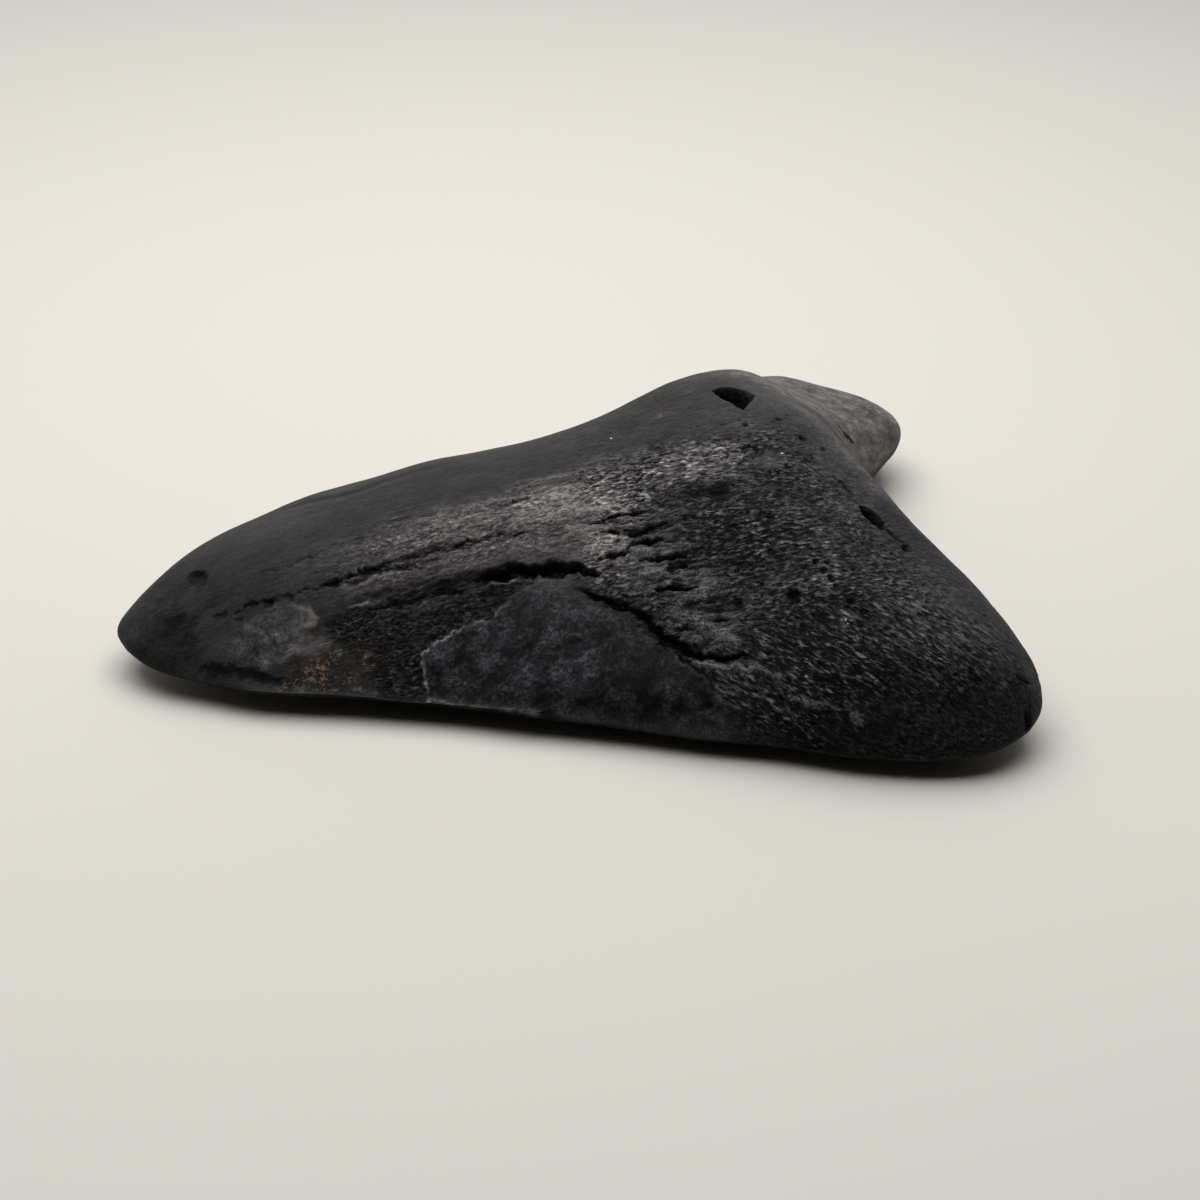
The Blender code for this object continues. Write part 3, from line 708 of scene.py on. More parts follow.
def cavity(s):
    """The long cavity over the large plate, and the valley that leads into it, both with painted shade."""
    dist, part, _ = to_line(s.moved(0.8), VALLEY)
    half, depth, dark = (start + more * part for start, more in (VALLEY_HALF, VALLEY_DEPTH, VALLEY_SHADE))
    slope = s.up * fade("valley", dist / half) * smooth(0.0, 0.3, part)
    s.height -= depth * slope
    # Painted shade on the slope of the valley.
    s.paint_shade(dark * slope)
    hollow = inside_of(s.moved(1.5, 1.0), CAVITY)
    s.height -= s.up * CAVITY_DEPTH * fade("cavity", hollow)
    # Painted shade in the cavity, heavier towards the root.
    dark = 0.42 + 0.58 * fade("cavity_dark_x", s.x)
    s.paint_shade(s.up * fade("cavity_dark", hollow) * dark)


LIP_WARP = 0.25


def holes(s):
    for mouth, depth, soft in HOLES.values():
        inside = inside_of(s.moved(LIP_WARP), mouth)
        s.height -= s.up * depth * smooth(-0.1, 2.2 * soft, inside)
        # Painted shade inside the hole.
        s.paint_shade(s.up * smooth(-0.15, soft, inside))
    for centre, radius, depth in DENTS.values():
        away = np.linalg.norm(s.moved(LIP_WARP) - centre, axis=1) / radius
        shape = s.up * fade("dent", away)
        s.height -= depth * shape
        # Painted shade in the dent.
        s.paint_shade(min(0.9, 1.6 * depth) * shape)


CRESCENT_HALF = 0.42
CRESCENT_DEPTH = 0.45
CHIP_LIP_HALF = 0.45
# The scoop behind the chip's lip: how far behind, half width.
SCOOP = (1.6, 1.1)
SCOOP_DEPTH = 0.30
# The wall of the tip pit that gets the most painted shade, as a plan direction from its middle.
DARK_WALL = np.array([-0.45, 0.89])
# The ring of painted shade in the tip pit: how far in, half width.
TIP_PIT_RING = (0.30, 0.42)


def single_marks(s):
    """The crescent on the root, the chip on the far side and the pit near the tip."""
    dist, part, _ = to_line(s.xy, CRESCENT)
    arc = s.up * bell(dist, CRESCENT_HALF) * faded_ends(part, 0.15)
    s.height -= CRESCENT_DEPTH * arc
    # Painted shade in the crescent.
    s.paint_shade(0.6 * arc)
    dist, part, side = to_line(s.moved(0.8), FAR_CHIP)
    ends = s.up * smooth(0.0, 0.15, part) * smooth(1.0, 0.4, part)
    scoop = ends * bell(dist * side - SCOOP[0], SCOOP[1])
    s.chip = ends * np.maximum(bell(dist, CHIP_LIP_HALF) * s.broken, 0.45 * scoop)
    s.height -= SCOOP_DEPTH * scoop
    pit = inside_of(s.moved(LIP_WARP), TIP_PIT)
    s.height -= s.up * TIP_PIT_DEPTH * fade("tip_pit", pit)
    # Painted shade round the pit's rim, heaviest on one wall.
    wall = smooth(-0.4, 0.8, (s.xy - np.mean(TIP_PIT, axis=0)) @ DARK_WALL)
    s.paint_shade(s.up * (0.25 + 0.65 * wall) * bell(pit - TIP_PIT_RING[0], TIP_PIT_RING[1]))


EDGE_HALF = 0.20
EDGE_LOW_HALF = 0.30
EDGE_HEIGHT = 0.10
RIDGE_HALF = 2.2
# The worn underside: size of a cell, seed, height.
UNDERSIDE = ((2.2, 91, 0.05), (0.9, 93, 0.03))


def edge_highlight_and_dust(s):
    """The painted highlight along the near edge, the dusty places and the grain of the underside."""
    # Painted highlight along the near edge, broken by a noise.
    edge = bell(to_line(s.moved(0.4), EDGE_LINE)[0], EDGE_HALF) * smooth(-0.35, 0.25, s.noise("edge"))
    low = 0.4 * bell(to_line(s.moved(0.2), EDGE_LINE_LOW)[0], EDGE_LOW_HALF)
    s.edge = np.maximum(edge, low) * fade("edge_side", s.normals[:, 2])
    s.height += EDGE_HEIGHT * s.edge
    ridge = bell(to_line(s.moved(0.8), RIDGE_BAND)[0], RIDGE_HALF)
    s.pale = s.up * np.maximum(s.strongest(PALE, 2.0), 0.5 * ridge)
    s.height += (1 - s.up) * sum(high * layered(s.p / size, seed, 2) for size, seed, high in UNDERSIDE)
    s.relief = 0.5 + np.clip((s.height - s.broad) / 0.55, -0.5, 0.5)


RUST_SOFT = 0.9
# A brown spot on the smooth root: middle, half lengths, strength.
BROWN_SPOT = {"brown": ((80.3, 13.2), (2.2, 0.9), 0.8)}


def stains(s):
    rust = patch(s.moved(2.0), RUST, RUST_SOFT) * smooth(-0.45, 0.10, s.noise("rust"))
    s.rust = s.up * rust * (1 - s.tip_enamel)
    s.rust_light = s.up * s.strongest(RUST_SPOTS, 0.8)
    s.grey_lobe = s.far * s.up
    brown = s.strongest(BROWN_SPOT, 0.8)
    s.tan = s.up * np.maximum(np.maximum(0.5 * s.chip, s.tip_rim), brown)


# Mottle of the tip's near side: middle, half lengths.
TIP_MOTTLE = ((7.0, -4.0), (9.0, 7.0))
BACK_SHEEN_DIRECTION = np.array([0.15, 0.98, 0.0])
# How much lighter than plain charcoal each kind of place is, the painted back sheen among them, and how much
# more contrast its pattern has.
LIGHTER = {"worn": 1.9, "rough": 0.25, "pale": 3.2, "flank": 0.9}
PLAIN_CONTRAST = 0.25
BUSIER = {"worn": 0.50, "dusty": 0.4, "rough": 1.6, "fracture": 1.6}
HOLLOW_CONTRAST = 0.35
MOST_CONTRAST = 2.6
SHADING_TO_CONTRAST = -0.75


def shading_and_tones(s):
    """How light, how warm and how contrasty the material is at each point; the lightness holds painted shade
    and light, a painted sheen on faces turned to the back, the tip's mottle and dust.
    """
    # Painted shade on the underside.
    tone = 1 - 0.55 * (1 - s.up)
    # Painted shade on steep faces that turn to the camera.
    steep = fade("steep", s.normals[:, 2]) * fade("faces_near", s.normals[:, 1])
    tone *= 1 - 0.55 * steep * fade("steep_from_x", s.x) * fade("steep_to_x", s.x)
    # Broad painted light and shade.
    for middle, halves, factor in PAINTED_LIGHT_AND_SHADE.values():
        tone *= 1 + (factor - 1) * s.up * s.oval(middle, halves, 1.5)
    tone *= 1 + 0.9 * s.up * s.oval(*TIP_MOTTLE) * s.noise("tip_mottle")
    # Painted sheen on faces turned to the back, where most light comes from.
    s.flank = fade("flank", s.normals @ BACK_SHEEN_DIRECTION) * s.up
    s.dusty = s.pale * (1 - s.rough)
    light = sum((amount * getattr(s, kind) for kind, amount in LIGHTER.items()), start=1)
    light *= 1 + 0.45 * s.fracture
    contrast = sum((amount * getattr(s, kind) for kind, amount in BUSIER.items()), start=PLAIN_CONTRAST)
    contrast *= 1 - 0.25 * s.pale
    contrast *= 1 + HOLLOW_CONTRAST * s.oval(*PAINTED_LIGHT_AND_SHADE["root_hollow"][:2])
    contrast = np.minimum(contrast, MOST_CONTRAST) * (1 + 0.45 * s.noise("contrast"))
    s.contrast = contrast * tone ** SHADING_TO_CONTRAST
    s.tone = tone
    s.level = tone * light
    warm = 0.5 + 0.5 * np.maximum(s.worn, s.pale) - 0.9 * (1 - np.minimum(tone, 1)) - 0.6 * s.fracture
    s.warm = np.clip(warm, 0, 1)


# What the material is told at each point.
MASKS = ("relief", "crevice", "enamel", "tip_enamel", "fracture", "worn", "rough", "lobe", "lit", "rust",
         "rust_light", "grey_lobe", "tan", "pores", "edge", "level", "contrast", "tone", "warm")


def relief(p, normals):
    """Height of the surface's marks over the smooth tooth, and the masks that colour it."""
    s = Surface(p, normals)
    for step in (unevenness, enamel, grain, pores, ledges, fissures, cavity, holes, single_marks,
                 edge_highlight_and_dust, stains, shading_and_tones):
        step(s)
    return s.height, {name: getattr(s, name) for name in MASKS}


# ---------------- mesh work
FINE_EDGE = 0.34
COARSE_EDGE = 0.95
MOST_TRIANGLES = 196000
# Upper and under side, by the height of the normal, and the band round a hole's lip that has shorter edges.
SIDES = (-0.9, -0.3)
LIP_BAND = (0.9, 0.4)
LIP_SHORTER = 0.45
# Weight of an edge's middle against the points that its two ends' tangent planes give.
STRAIGHT_WEIGHT = 0.3
# How the CAD's triangles become quads again: metres, and angles in radians.
WELD = 1e-6
FLAT_ANGLE = 0.5
SHAPE_ANGLE = 0.6
# The ring round a pit that tells how high its floor goes, as a share of the pit's reach.
RING = (1.0, 2.2)


def welded(source):
    mesh = source.data.copy()
    bm = bmesh.new()
    bm.from_mesh(mesh)
    bmesh.ops.remove_doubles(bm, verts=bm.verts, dist=WELD)
    bmesh.ops.join_triangles(
        bm, faces=bm.faces, angle_face_threshold=FLAT_ANGLE, angle_shape_threshold=SHAPE_ANGLE)
    bm.to_mesh(mesh)
    bm.free()
    return mesh


def applied(mesh, kind, **settings):
    """The mesh with one modifier applied."""
    item = bpy.data.objects.new("working", mesh)
    bpy.context.scene.collection.objects.link(item)
    modifier = item.modifiers.new("step", kind)
    for name, value in settings.items():
        setattr(modifier, name, value)
    graph = bpy.context.evaluated_depsgraph_get()
    made = bpy.data.meshes.new_from_object(
        item.evaluated_get(graph), preserve_all_data_layers=True, depsgraph=graph)
    bpy.data.objects.remove(item)
    return made


def points(mesh):
    """A mesh's points in plan millimetres."""
    co = np.empty(len(mesh.vertices) * 3, dtype=np.float32)
    mesh.vertices.foreach_get("co", co)
    return co.reshape(-1, 3) / MM + TIP_FROM_ORIGIN


def flat_metres(verts):
    return ((verts - TIP_FROM_ORIGIN) * MM).astype(np.float32).ravel()


def triangles(mesh):
    mesh.calc_loop_triangles()
    tris = np.empty(len(mesh.loop_triangles) * 3, dtype=np.int32)
    mesh.loop_triangles.foreach_get("vertices", tris)
    return tris.reshape(-1, 3)


def vertex_normals(verts, tris):
    a, b, c = (verts[tris[:, i]] for i in range(3))
    face = np.cross(b - a, c - a)
    total = np.zeros_like(verts)
    for i, axis in itertools.product(range(3), repeat=2):
        total[:, axis] += np.bincount(tris[:, i], weights=face[:, axis], minlength=len(verts))
    return total / np.maximum(np.linalg.norm(total, axis=1), 1e-12)[:, None]


def bent_middles(verts, normals, a, b):
    """Middles of the edges from a to b, moved towards the curved surface that the normals tell of."""
    middle = (verts[a] + verts[b]) / 2
    onto = 0
    for end in (a, b):
        onto = onto + middle - ((middle - verts[end]) * normals[end]).sum(axis=1)[:, None] * normals[end]
    return middle, STRAIGHT_WEIGHT * middle + (1 - STRAIGHT_WEIGHT) / 2 * onto


def refined(verts, tris, limit):
    """Splits every edge longer than limit(middle, normal); also says whether there was one."""
    normals = vertex_normals(verts, tris)
    pairs = np.sort(np.stack([tris, np.roll(tris, -1, axis=1)], axis=2).reshape(-1, 2), axis=1)
    key = pairs[:, 0].astype(np.int64) * len(verts) + pairs[:, 1]
    unique, back = np.unique(key, return_inverse=True)
    a, b = np.divmod(unique, len(verts))
    middle, bent = bent_middles(verts, normals, a, b)
    long = np.linalg.norm(verts[a] - verts[b], axis=1) > limit(middle, normals[a] + normals[b])
    number = np.full(len(unique), -1)
    number[long] = len(verts) + np.arange(long.sum())
    mids = number[back.reshape(-1, 3)]
    split = mids >= 0
    count = split.sum(axis=1)
    out = [tris[count == 0]]
    for i in range(3):
        t, m, s = (np.roll(values, -i, axis=1) for values in (tris, mids, split))
        one = s[:, 0] & ~s[:, 1] & ~s[:, 2]
        (p, q, r), k = t[one].T, m[one, 0]
        out += [np.stack(corners, 1) for corners in ((p, k, r), (k, q, r))]
        two = s[:, 0] & s[:, 1] & ~s[:, 2]
        (p, q, r), (k, l, _) = t[two].T, m[two].T
        out += [np.stack(corners, 1) for corners in ((k, q, l), (p, k, l), (p, l, r))]
    (p, q, r), (k, l, n) = tris[count == 3].T, mids[count == 3].T
    out += [np.stack(corners, 1) for corners in ((p, k, n), (k, q, l), (n, l, r), (k, l, n))]
    return np.vstack([verts, bent[long]]), np.vstack(out), bool(long.any())


def mesh_from(name, verts, tris):
    mesh = bpy.data.meshes.new(name)
    mesh.vertices.add(len(verts))
    mesh.vertices.foreach_set("co", flat_metres(verts))
    mesh.loops.add(len(tris) * 3)
    mesh.loops.foreach_set("vertex_index", tris.astype(np.int32).ravel())
    mesh.polygons.add(len(tris))
    mesh.polygons.foreach_set("loop_start", np.arange(0, len(tris) * 3, 3, dtype=np.int32))
    mesh.update(calc_edges=True)
    mesh.validate()
    return mesh


def edge_limit(middle, normal):
    """Longest edge allowed at a point: short where the surface is seen and has fine marks."""
    up = smooth(*SIDES, normal[:, 2] / np.maximum(np.linalg.norm(normal, axis=1), 1e-9))
    fine = FINE_EDGE
    sharp = np.zeros(len(middle))
    for mouth, _, _ in HOLES.values():
        sharp = np.maximum(sharp, smooth(*LIP_BAND, np.abs(inside_of(middle[:, :2], mouth))))
    return (COARSE_EDGE + (fine - COARSE_EDGE) * up) * (1 - LIP_SHORTER * sharp * up)


def fill_pits(verts):
    """Lifts the floors of the CAD's pits to the surface round them."""
    upper = verts[:, 2] > HIGHEST_UNDERSIDE
    for middle, reach in CAD_PITS:
        at = verts[:, :2] - middle
        away = np.linalg.norm(at, axis=1) / reach
        ring = upper & (away > RING[0]) & (away < RING[1])
        terms = np.column_stack([np.ones(len(at)), at, at ** 2, at[:, 0] * at[:, 1]])
        surface = terms @ np.linalg.lstsq(terms[ring], verts[ring, 2], rcond=None)[0]
        low = upper & (away < RING[0]) & (verts[:, 2] < surface - CAD_PIT_DROP)
        verts[low, 2] = surface[low]


def fossil_mesh():
    """A copy of the CAD's tooth, rounded, refined and raised by the relief; the masks are attributes."""
    base = welded(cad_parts["tooth"])
    corners = points(base)
    fill_pits(corners)
    base.vertices.foreach_set("co", flat_metres(corners))
    base = applied(base, "SUBSURF", levels=2, render_levels=2)
    verts, tris = points(base), triangles(base)
    more = True
    while more:
        verts, tris, more = refined(verts, tris, edge_limit)
    normals = vertex_normals(verts, tris)
    height, masks = relief(verts, normals)
    raised = verts + height[:, None] * normals
    raised[:, 2] = np.maximum(raised[:, 2], 0.0)
    mesh = mesh_from("fossil_fine", raised, tris)
    for name, values in masks.items():
        layer = mesh.attributes.new(name, "FLOAT", "POINT")
        layer.data.foreach_set("value", values.astype(np.float32))
    if len(tris) > MOST_TRIANGLES:
        mesh = applied(mesh, "DECIMATE", ratio=MOST_TRIANGLES / len(tris), use_collapse_triangulate=True)
    mesh.shade_smooth()
    return mesh


# ---------------- material
CHARCOAL = (0.0282, 0.0264, 0.0272)
COOL = (0.955, 0.985, 1.070)
WARM = (1.02, 1.00, 0.96)
GREY_HIGHLIGHT = (0.110, 0.105, 0.106)
ENAMEL = (0.0136, 0.0143, 0.0160)
TIP_ENAMEL = (0.0410, 0.0414, 0.0442)
RUST_DARK = (0.0105, 0.0072, 0.0060)
RUST_LIGHT = (0.2350, 0.1570, 0.1220)
LIP_HIGHLIGHT = (0.230, 0.221, 0.216)
TAN = (0.125, 0.105, 0.080)
LOBE_GREY = (0.150, 0.142, 0.135)
WHITE = (0.60, 0.58, 0.54)
STONE_ROUGHNESS = 0.58
ENAMEL_ROUGHNESS = 0.50
SPECULAR = 0.10
# Height of the finest relief for each unit of contrast.
FINE_RELIEF = 0.19

# The scales in each zone: mask, grain, length and width of a cell. The first is everywhere else.
SCALES = (
    (None, CROWN_GRAIN, 1.6, 0.50),
    ("worn", CROWN_GRAIN, 0.80, 0.38),
    ("rough", ROOT_GRAIN, 1.20, 0.46),
    ("lobe", NEAR_LOBE_GRAIN, 1.50, 0.46),
    ("fracture", FRACTURE_GRAIN, 0.85, 0.38),
)
SCALE_RANGE = (0.34, 0.72)
SCALE_MEAN = 0.54
# Noises: grain, length and width of a cell, detail, roughness, distortion.
PATTERNS = {
    "clouds": (CROWN_GRAIN, 6.0, 3.5, 3.0, 0.55, 0.0),
    "specks": (NO_GRAIN, 0.36, 0.36, 2.0, 0.5, 0.0),
    "mottle": (CROWN_GRAIN, 3.6, 2.6, 5.0, 0.74, 0.3),
    "crumbs": (NO_GRAIN, 0.55, 0.45, 3.0, 0.65, 0.6),
    "stain": (NO_GRAIN, 1.0, 0.8, 4.0, 0.65, 0.4),
    "smudge": (FAR_LOBE_GRAIN, 2.6, 1.8, 5.0, 0.68, 0.0),
}
# Stains and the painted highlight on lips of ledges and rims, in order: mask, pattern, the pattern's range,
# cover at its two ends, colour.
STAINS_AND_HIGHLIGHTS = (
    ("rust", "stain", 0.36, 0.47, 0.20, 0.90, RUST_DARK),
    ("rust", "crumbs", 0.56, 0.66, 0.0, 0.75, TAN),
    ("rust_light", "crumbs", 0.47, 0.64, 0.0, 0.90, RUST_LIGHT),
    # Painted highlight on the lips of ledges and rims of plates.
    ("lit", "specks", 0.36, 0.60, 0.15, 0.75, LIP_HIGHLIGHT),
    ("tan", "stain", 0.36, 0.58, 0.0, 0.65, TAN),
)
# Painted highlight along the near edge: mask, pattern, the pattern's range, cover at its two ends, colour.
EDGE_HIGHLIGHT = ("edge", "specks", 0.35, 0.60, 0.15, 0.7, GREY_HIGHLIGHT)


class Nodes:
    """A material's node tree, with a short method for each kind of node that is used."""

    def __init__(self, owner, shader):
        owner.use_nodes = True
        self.tree = owner.node_tree
        self.shader = self.tree.nodes[shader]
        self.place = self.tree.nodes.new("ShaderNodeTexCoord").outputs

    def put(self, socket, value):
        if isinstance(value, bpy.types.NodeSocket):
            self.tree.links.new(value, socket)
        elif isinstance(value, tuple) and len(value) == 3 and socket.type == "RGBA":
            socket.default_value = value + (1.0,)
        else:
            socket.default_value = value

    def node(self, kind, inputs, output=0, **settings):
        """One output of a new node that has these inputs."""
        node = self.tree.nodes.new("ShaderNode" + kind)
        for key, value in settings.items():
            setattr(node, key, value)
        for key, value in inputs.items():
            self.put(node.inputs[key], value)
        return node.outputs[output]

    def math(self, operation, a, b=0.0, clamp=False):
        return self.node("Math", {0: a, 1: b}, operation=operation, use_clamp=clamp)

    def times(self, a, b):
        return self.math("MULTIPLY", a, b)

    def range(self, value, low, high, to_low=0.0, to_high=1.0):
        ends = {"Value": value, "From Min": low, "From Max": high, "To Min": to_low, "To Max": to_high}
        return self.node("MapRange", ends, interpolation_type="SMOOTHSTEP")

    def mix(self, factor, a, b):
        return self.node("Mix", {"Factor": factor, "A": a, "B": b}, "Result", data_type="RGBA")

    def pick(self, mask, a, b):
        """Vector b where the mask is over a half, a elsewhere."""
        choice = {"Factor": self.math("GREATER_THAN", mask, 0.5), 4: a, 5: b}
        return self.node("Mix", choice, 1, data_type="VECTOR")

    def scaled(self, colour, factor):
        return self.node("VectorMath", {0: colour, "Scale": factor}, operation="SCALE")

    def placed(self, grain, length, across):
        """The tooth's own coordinates, in cells that lie along a grain."""
        turn = (0, -math.radians(grain[1]), math.radians(grain[0]))
        size = (length * MM, across * MM, across * MM)
        inputs = {"Vector": self.place["Object"], "Rotation": turn, "Scale": size}
        return self.node("Mapping", inputs, vector_type="TEXTURE")

    def noise(self, vector, detail, rough, distortion=0.0, scale=1.0, output="Fac"):
        return self.node("TexNoise", {
            "Vector": vector, "Scale": scale, "Detail": detail, "Roughness": rough, "Distortion": distortion,
        }, output)

    def swing(self, pattern, mean, contrast):
        """A factor that is 1 at the pattern's mean and goes evenly to dark and light round it, as seen."""
        away = self.times(self.math("SUBTRACT", pattern, mean), contrast)
        return self.math("POWER", self.math("MAXIMUM", self.math("ADD", away, 1.0), 0.15), 2.2)

    def scales(self, vector):
        """Stretched cells with squiggly light lines between them: 0 at the bottom of a pit, 1 on a line."""
        wander = self.noise(vector, 3.0, 0.6, scale=1.3, output="Color")
        green = self.node("SeparateColor", {"Color": wander}, "Green")
        line = self.range(self.math("ABSOLUTE", self.math("SUBTRACT", green, 0.5)), 0.045, 0.0)
        shifted = self.node(
            "VectorMath", {0: wander, 1: (1.5, 1.5, 1.5), 2: vector}, operation="MULTIPLY_ADD")
        cell = self.node(
            "TexVoronoi", {"Vector": shifted, "Scale": 1.25}, "Distance", feature="F1")
        fibre = self.noise(vector, 4.0, 0.66, 0.5)
        depth = self.times(self.math("SUBTRACT", cell, 0.45), 0.30)
        total = self.math("ADD", self.math("ADD", fibre, depth), self.times(line, 0.11))
        low, high = SCALE_RANGE
        return self.math("MULTIPLY", self.math("SUBTRACT", total, low), 1.0 / (high - low), clamp=True)

    def dots(self, places, radius):
        """Small round specks at plan places."""
        flat = self.node(
            "VectorMath", {0: self.place["Object"], 1: (1.0, 1.0, 0.0)}, operation="MULTIPLY")
        total = 0.0
        for x, y in places:
            place = ((x - TIP_FROM_ORIGIN[0]) * MM, (y - TIP_FROM_ORIGIN[1]) * MM, 0.0)
            away = self.node("VectorMath", {0: flat, 1: place}, "Value", operation="DISTANCE")
            total = self.math("MAXIMUM", self.range(away, radius * MM, 0.6 * radius * MM), total)
        return total


def overlaid(n, colour, mask, pattern, low, high, least, most, paint):
    return n.mix(n.times(mask, n.range(pattern, low, high, least, most)), colour, paint)


def stone(n, mask, pattern):
    """Charcoal at the level of each point, which holds painted shade and light: painted shade in the pits of
    the scales, light lines on them that are partly dust and partly painted highlight, and painted glints in
    the fracture face.
    """
    shade = n.times(mask["level"], n.swing(pattern["scales"], SCALE_MEAN, mask["contrast"]))
    shade = n.times(shade, n.range(pattern["clouds"], 0.3, 0.7, 0.80, 1.20))
    shade = n.times(shade, n.range(pattern["specks"], 0.3, 0.7, 0.85, 1.15))
    tint = n.mix(mask["warm"], COOL, WARM)
    colour = n.scaled(n.node("VectorMath", {0: tint, 1: CHARCOAL}, operation="MULTIPLY"), shade)
    # Painted glints in the fracture face.
    painted_glints = n.times(n.range(pattern["specks"], 0.62, 0.74), n.range(pattern["scales"], 0.4, 0.9))
    return n.mix(n.times(n.times(mask["fracture"], painted_glints), 0.7), colour, GREY_HIGHLIGHT)


def enamelled(n, colour, mask, pattern):
    """Blue-black mottled enamel on the large plate, smoother and lighter enamel on the tip's."""
    blotch = n.times(n.swing(pattern["mottle"], 0.5, 4.4), n.swing(pattern["crumbs"], 0.5, 2.7))
    # The large plate's enamel takes the painted shading and mottle too.
    colour = n.mix(mask["enamel"], colour, n.scaled(ENAMEL, n.times(blotch, mask["tone"])))
    blotch = n.times(n.swing(pattern["mottle"], 0.5, 2.4), n.swing(pattern["crumbs"], 0.5, 1.5))
    return n.mix(mask["tip_enamel"], colour, n.scaled(TIP_ENAMEL, blotch))


def dirt_and_highlights(n, colour, mask, pattern):
    """Rust, tan stains, painted highlights on the lips of the ledges and rims of the plates, the grey far
    lobe and a painted highlight along the near edge.
    """
    for name, kind, *ramp, paint in STAINS_AND_HIGHLIGHTS:
        colour = overlaid(n, colour, mask[name], pattern[kind], *ramp, paint)
    blotch = n.times(n.swing(pattern["smudge"], 0.5, 1.8), n.swing(pattern["crumbs"], 0.5, 1.0))
    colour = n.mix(n.times(mask["grey_lobe"], 0.85), colour, n.scaled(LOBE_GREY, blotch))
    name, kind, *ramp, paint = EDGE_HIGHLIGHT
    return overlaid(n, colour, mask[name], pattern[kind], *ramp, paint)


def with_painted_shade(n, colour, mask, pattern):
    """Painted shade in pores, crevices and low places, and high places lighter with dust."""
    # Low places darker with painted shade, high places lighter with dust.
    dark = n.range(mask["relief"], 0.22, 0.78, 0.50, 1.40)
    # Painted shade in pores.
    dark = n.times(dark, n.range(mask["pores"], 0.0, 1.0, 1.0, 0.25))
    # Painted shade in crevices, made ragged by the scales.
    ragged = n.times(mask["crevice"], n.range(pattern["scales"], 0.0, 1.0, 1.45, 0.55))
    return n.scaled(colour, n.times(dark, n.range(ragged, 0.0, 0.8, 1.0, 0.15)))


def fossil_material():
    material = bpy.data.materials.new("fossil_surface")
    n = Nodes(material, "Principled BSDF")
    mask = {name: n.node("Attribute", {}, "Fac", attribute_name=name) for name in MASKS}
    pattern = {name: n.noise(n.placed(*noise[:3]), *noise[3:]) for name, noise in PATTERNS.items()}
    place = n.placed(*SCALES[0][1:])
    for zone, *cell in SCALES[1:]:
        place = n.pick(mask[zone], place, n.placed(*cell))
    pattern["scales"] = n.scales(place)

    colour = stone(n, mask, pattern)
    for coat in (enamelled, dirt_and_highlights, with_painted_shade):
        colour = coat(n, colour, mask, pattern)
    colour = n.mix(n.dots(WHITE_DOTS, WHITE_DOT), colour, WHITE)
    n.put(n.shader.inputs["Base Color"], colour)

    polished = n.math("MAXIMUM", mask["enamel"], mask["tip_enamel"])
    n.put(n.shader.inputs["Roughness"], n.range(polished, 0.0, 1.0, STONE_ROUGHNESS, ENAMEL_ROUGHNESS))
    n.put(n.shader.inputs["Specular IOR Level"], SPECULAR)

    # Relief finer than the mesh.
    depth = n.times(n.math("SUBTRACT", 1.0, polished), n.times(mask["contrast"], FINE_RELIEF))
    fine = {"Distance": MM, "Height": n.times(pattern["scales"], depth)}
    n.put(n.shader.inputs["Normal"], n.node("Bump", fine, "Normal"))
    return material


# ---------------- the room
# In metres and degrees.
CAMERA_PLACE = (-0.04006, -0.30537, 0.1802)
CAMERA_AIM = (0.13324, 0.85571, -0.5)
FIELD_OF_VIEW = 28.0
SENSOR = 36.0
FLOOR_HALF = 3.0
FLOOR_COLOUR = (0.70, 0.672, 0.618)
LAMP_PLACE = (-0.009, 0.11, 0.38)
LAMP_SIDE = 0.50
LAMP_POWER = 2.20
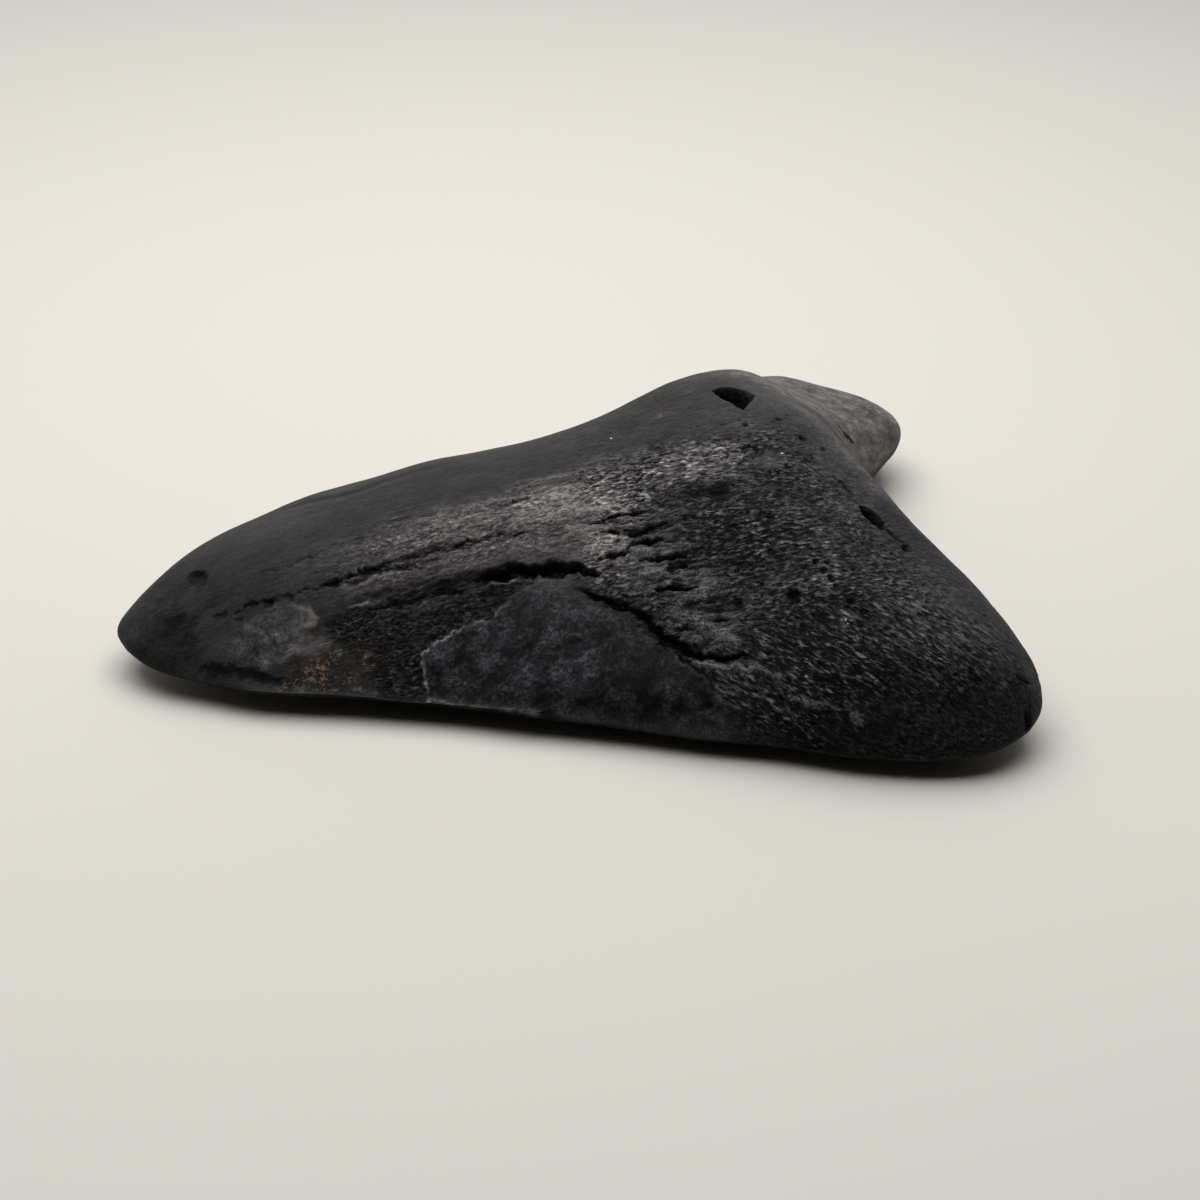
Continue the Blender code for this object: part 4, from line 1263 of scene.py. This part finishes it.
# Strength of the studio's light from the front and from the back, and the curve between them.
WORLD_FRONT = 0.0
WORLD_BACK = 1.0
WORLD_CURVE = 3.0


def linked(name, data):
    item = bpy.data.objects.new(name, data)
    bpy.context.scene.collection.objects.link(item)
    return item


def camera():
    data = bpy.data.cameras.new("camera")
    data.sensor_width = SENSOR
    data.lens = SENSOR / 2 / math.tan(math.radians(FIELD_OF_VIEW / 2))
    item = linked("camera", data)
    item.location = CAMERA_PLACE
    item.rotation_euler = Vector(CAMERA_AIM).to_track_quat("-Z", "Y").to_euler()
    bpy.context.scene.camera = item


def stage():
    mesh = bpy.data.meshes.new("floor")
    s = FLOOR_HALF
    mesh.from_pydata([(-s, -s, 0), (s, -s, 0), (s, s, 0), (-s, s, 0)], [], [(0, 1, 2, 3)])
    floor = linked("floor", mesh)
    material = bpy.data.materials.new("floor")
    n = Nodes(material, "Principled BSDF")
    n.put(n.shader.inputs["Base Color"], FLOOR_COLOUR)
    n.put(n.shader.inputs["Roughness"], 0.8)
    n.put(n.shader.inputs["Specular IOR Level"], 0.2)
    mesh.materials.append(material)


def lamp():
    """A soft square light overhead, which looks straight down."""
    data = bpy.data.lights.new("overhead", "AREA")
    data.shape = "RECTANGLE"
    data.size = data.size_y = LAMP_SIDE
    data.energy = LAMP_POWER
    linked("overhead", data).location = LAMP_PLACE


def studio():
    """White light from all round, stronger from the back."""
    world = bpy.data.worlds.new("studio")
    bpy.context.scene.world = world
    n = Nodes(world, "Background")
    back = n.node("SeparateXYZ", {0: n.place["Generated"]}, "Y")
    ends = {"Value": back, "From Min": -1.0, "From Max": 1.0, "To Min": WORLD_FRONT, "To Max": WORLD_BACK}
    n.put(n.shader.inputs["Color"], (1.0, 1.0, 1.0))
    n.put(n.shader.inputs["Strength"], n.math("POWER", n.node("MapRange", ends), WORLD_CURVE))


def tooth():
    piece = linked("tooth_fossil", fossil_mesh())
    piece.data.materials.clear()
    piece.data.materials.append(fossil_material())
    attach(piece, "root")
    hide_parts("tooth")


bpy.context.scene.view_settings.view_transform = "Standard"
camera()
stage()
studio()
lamp()
tooth()
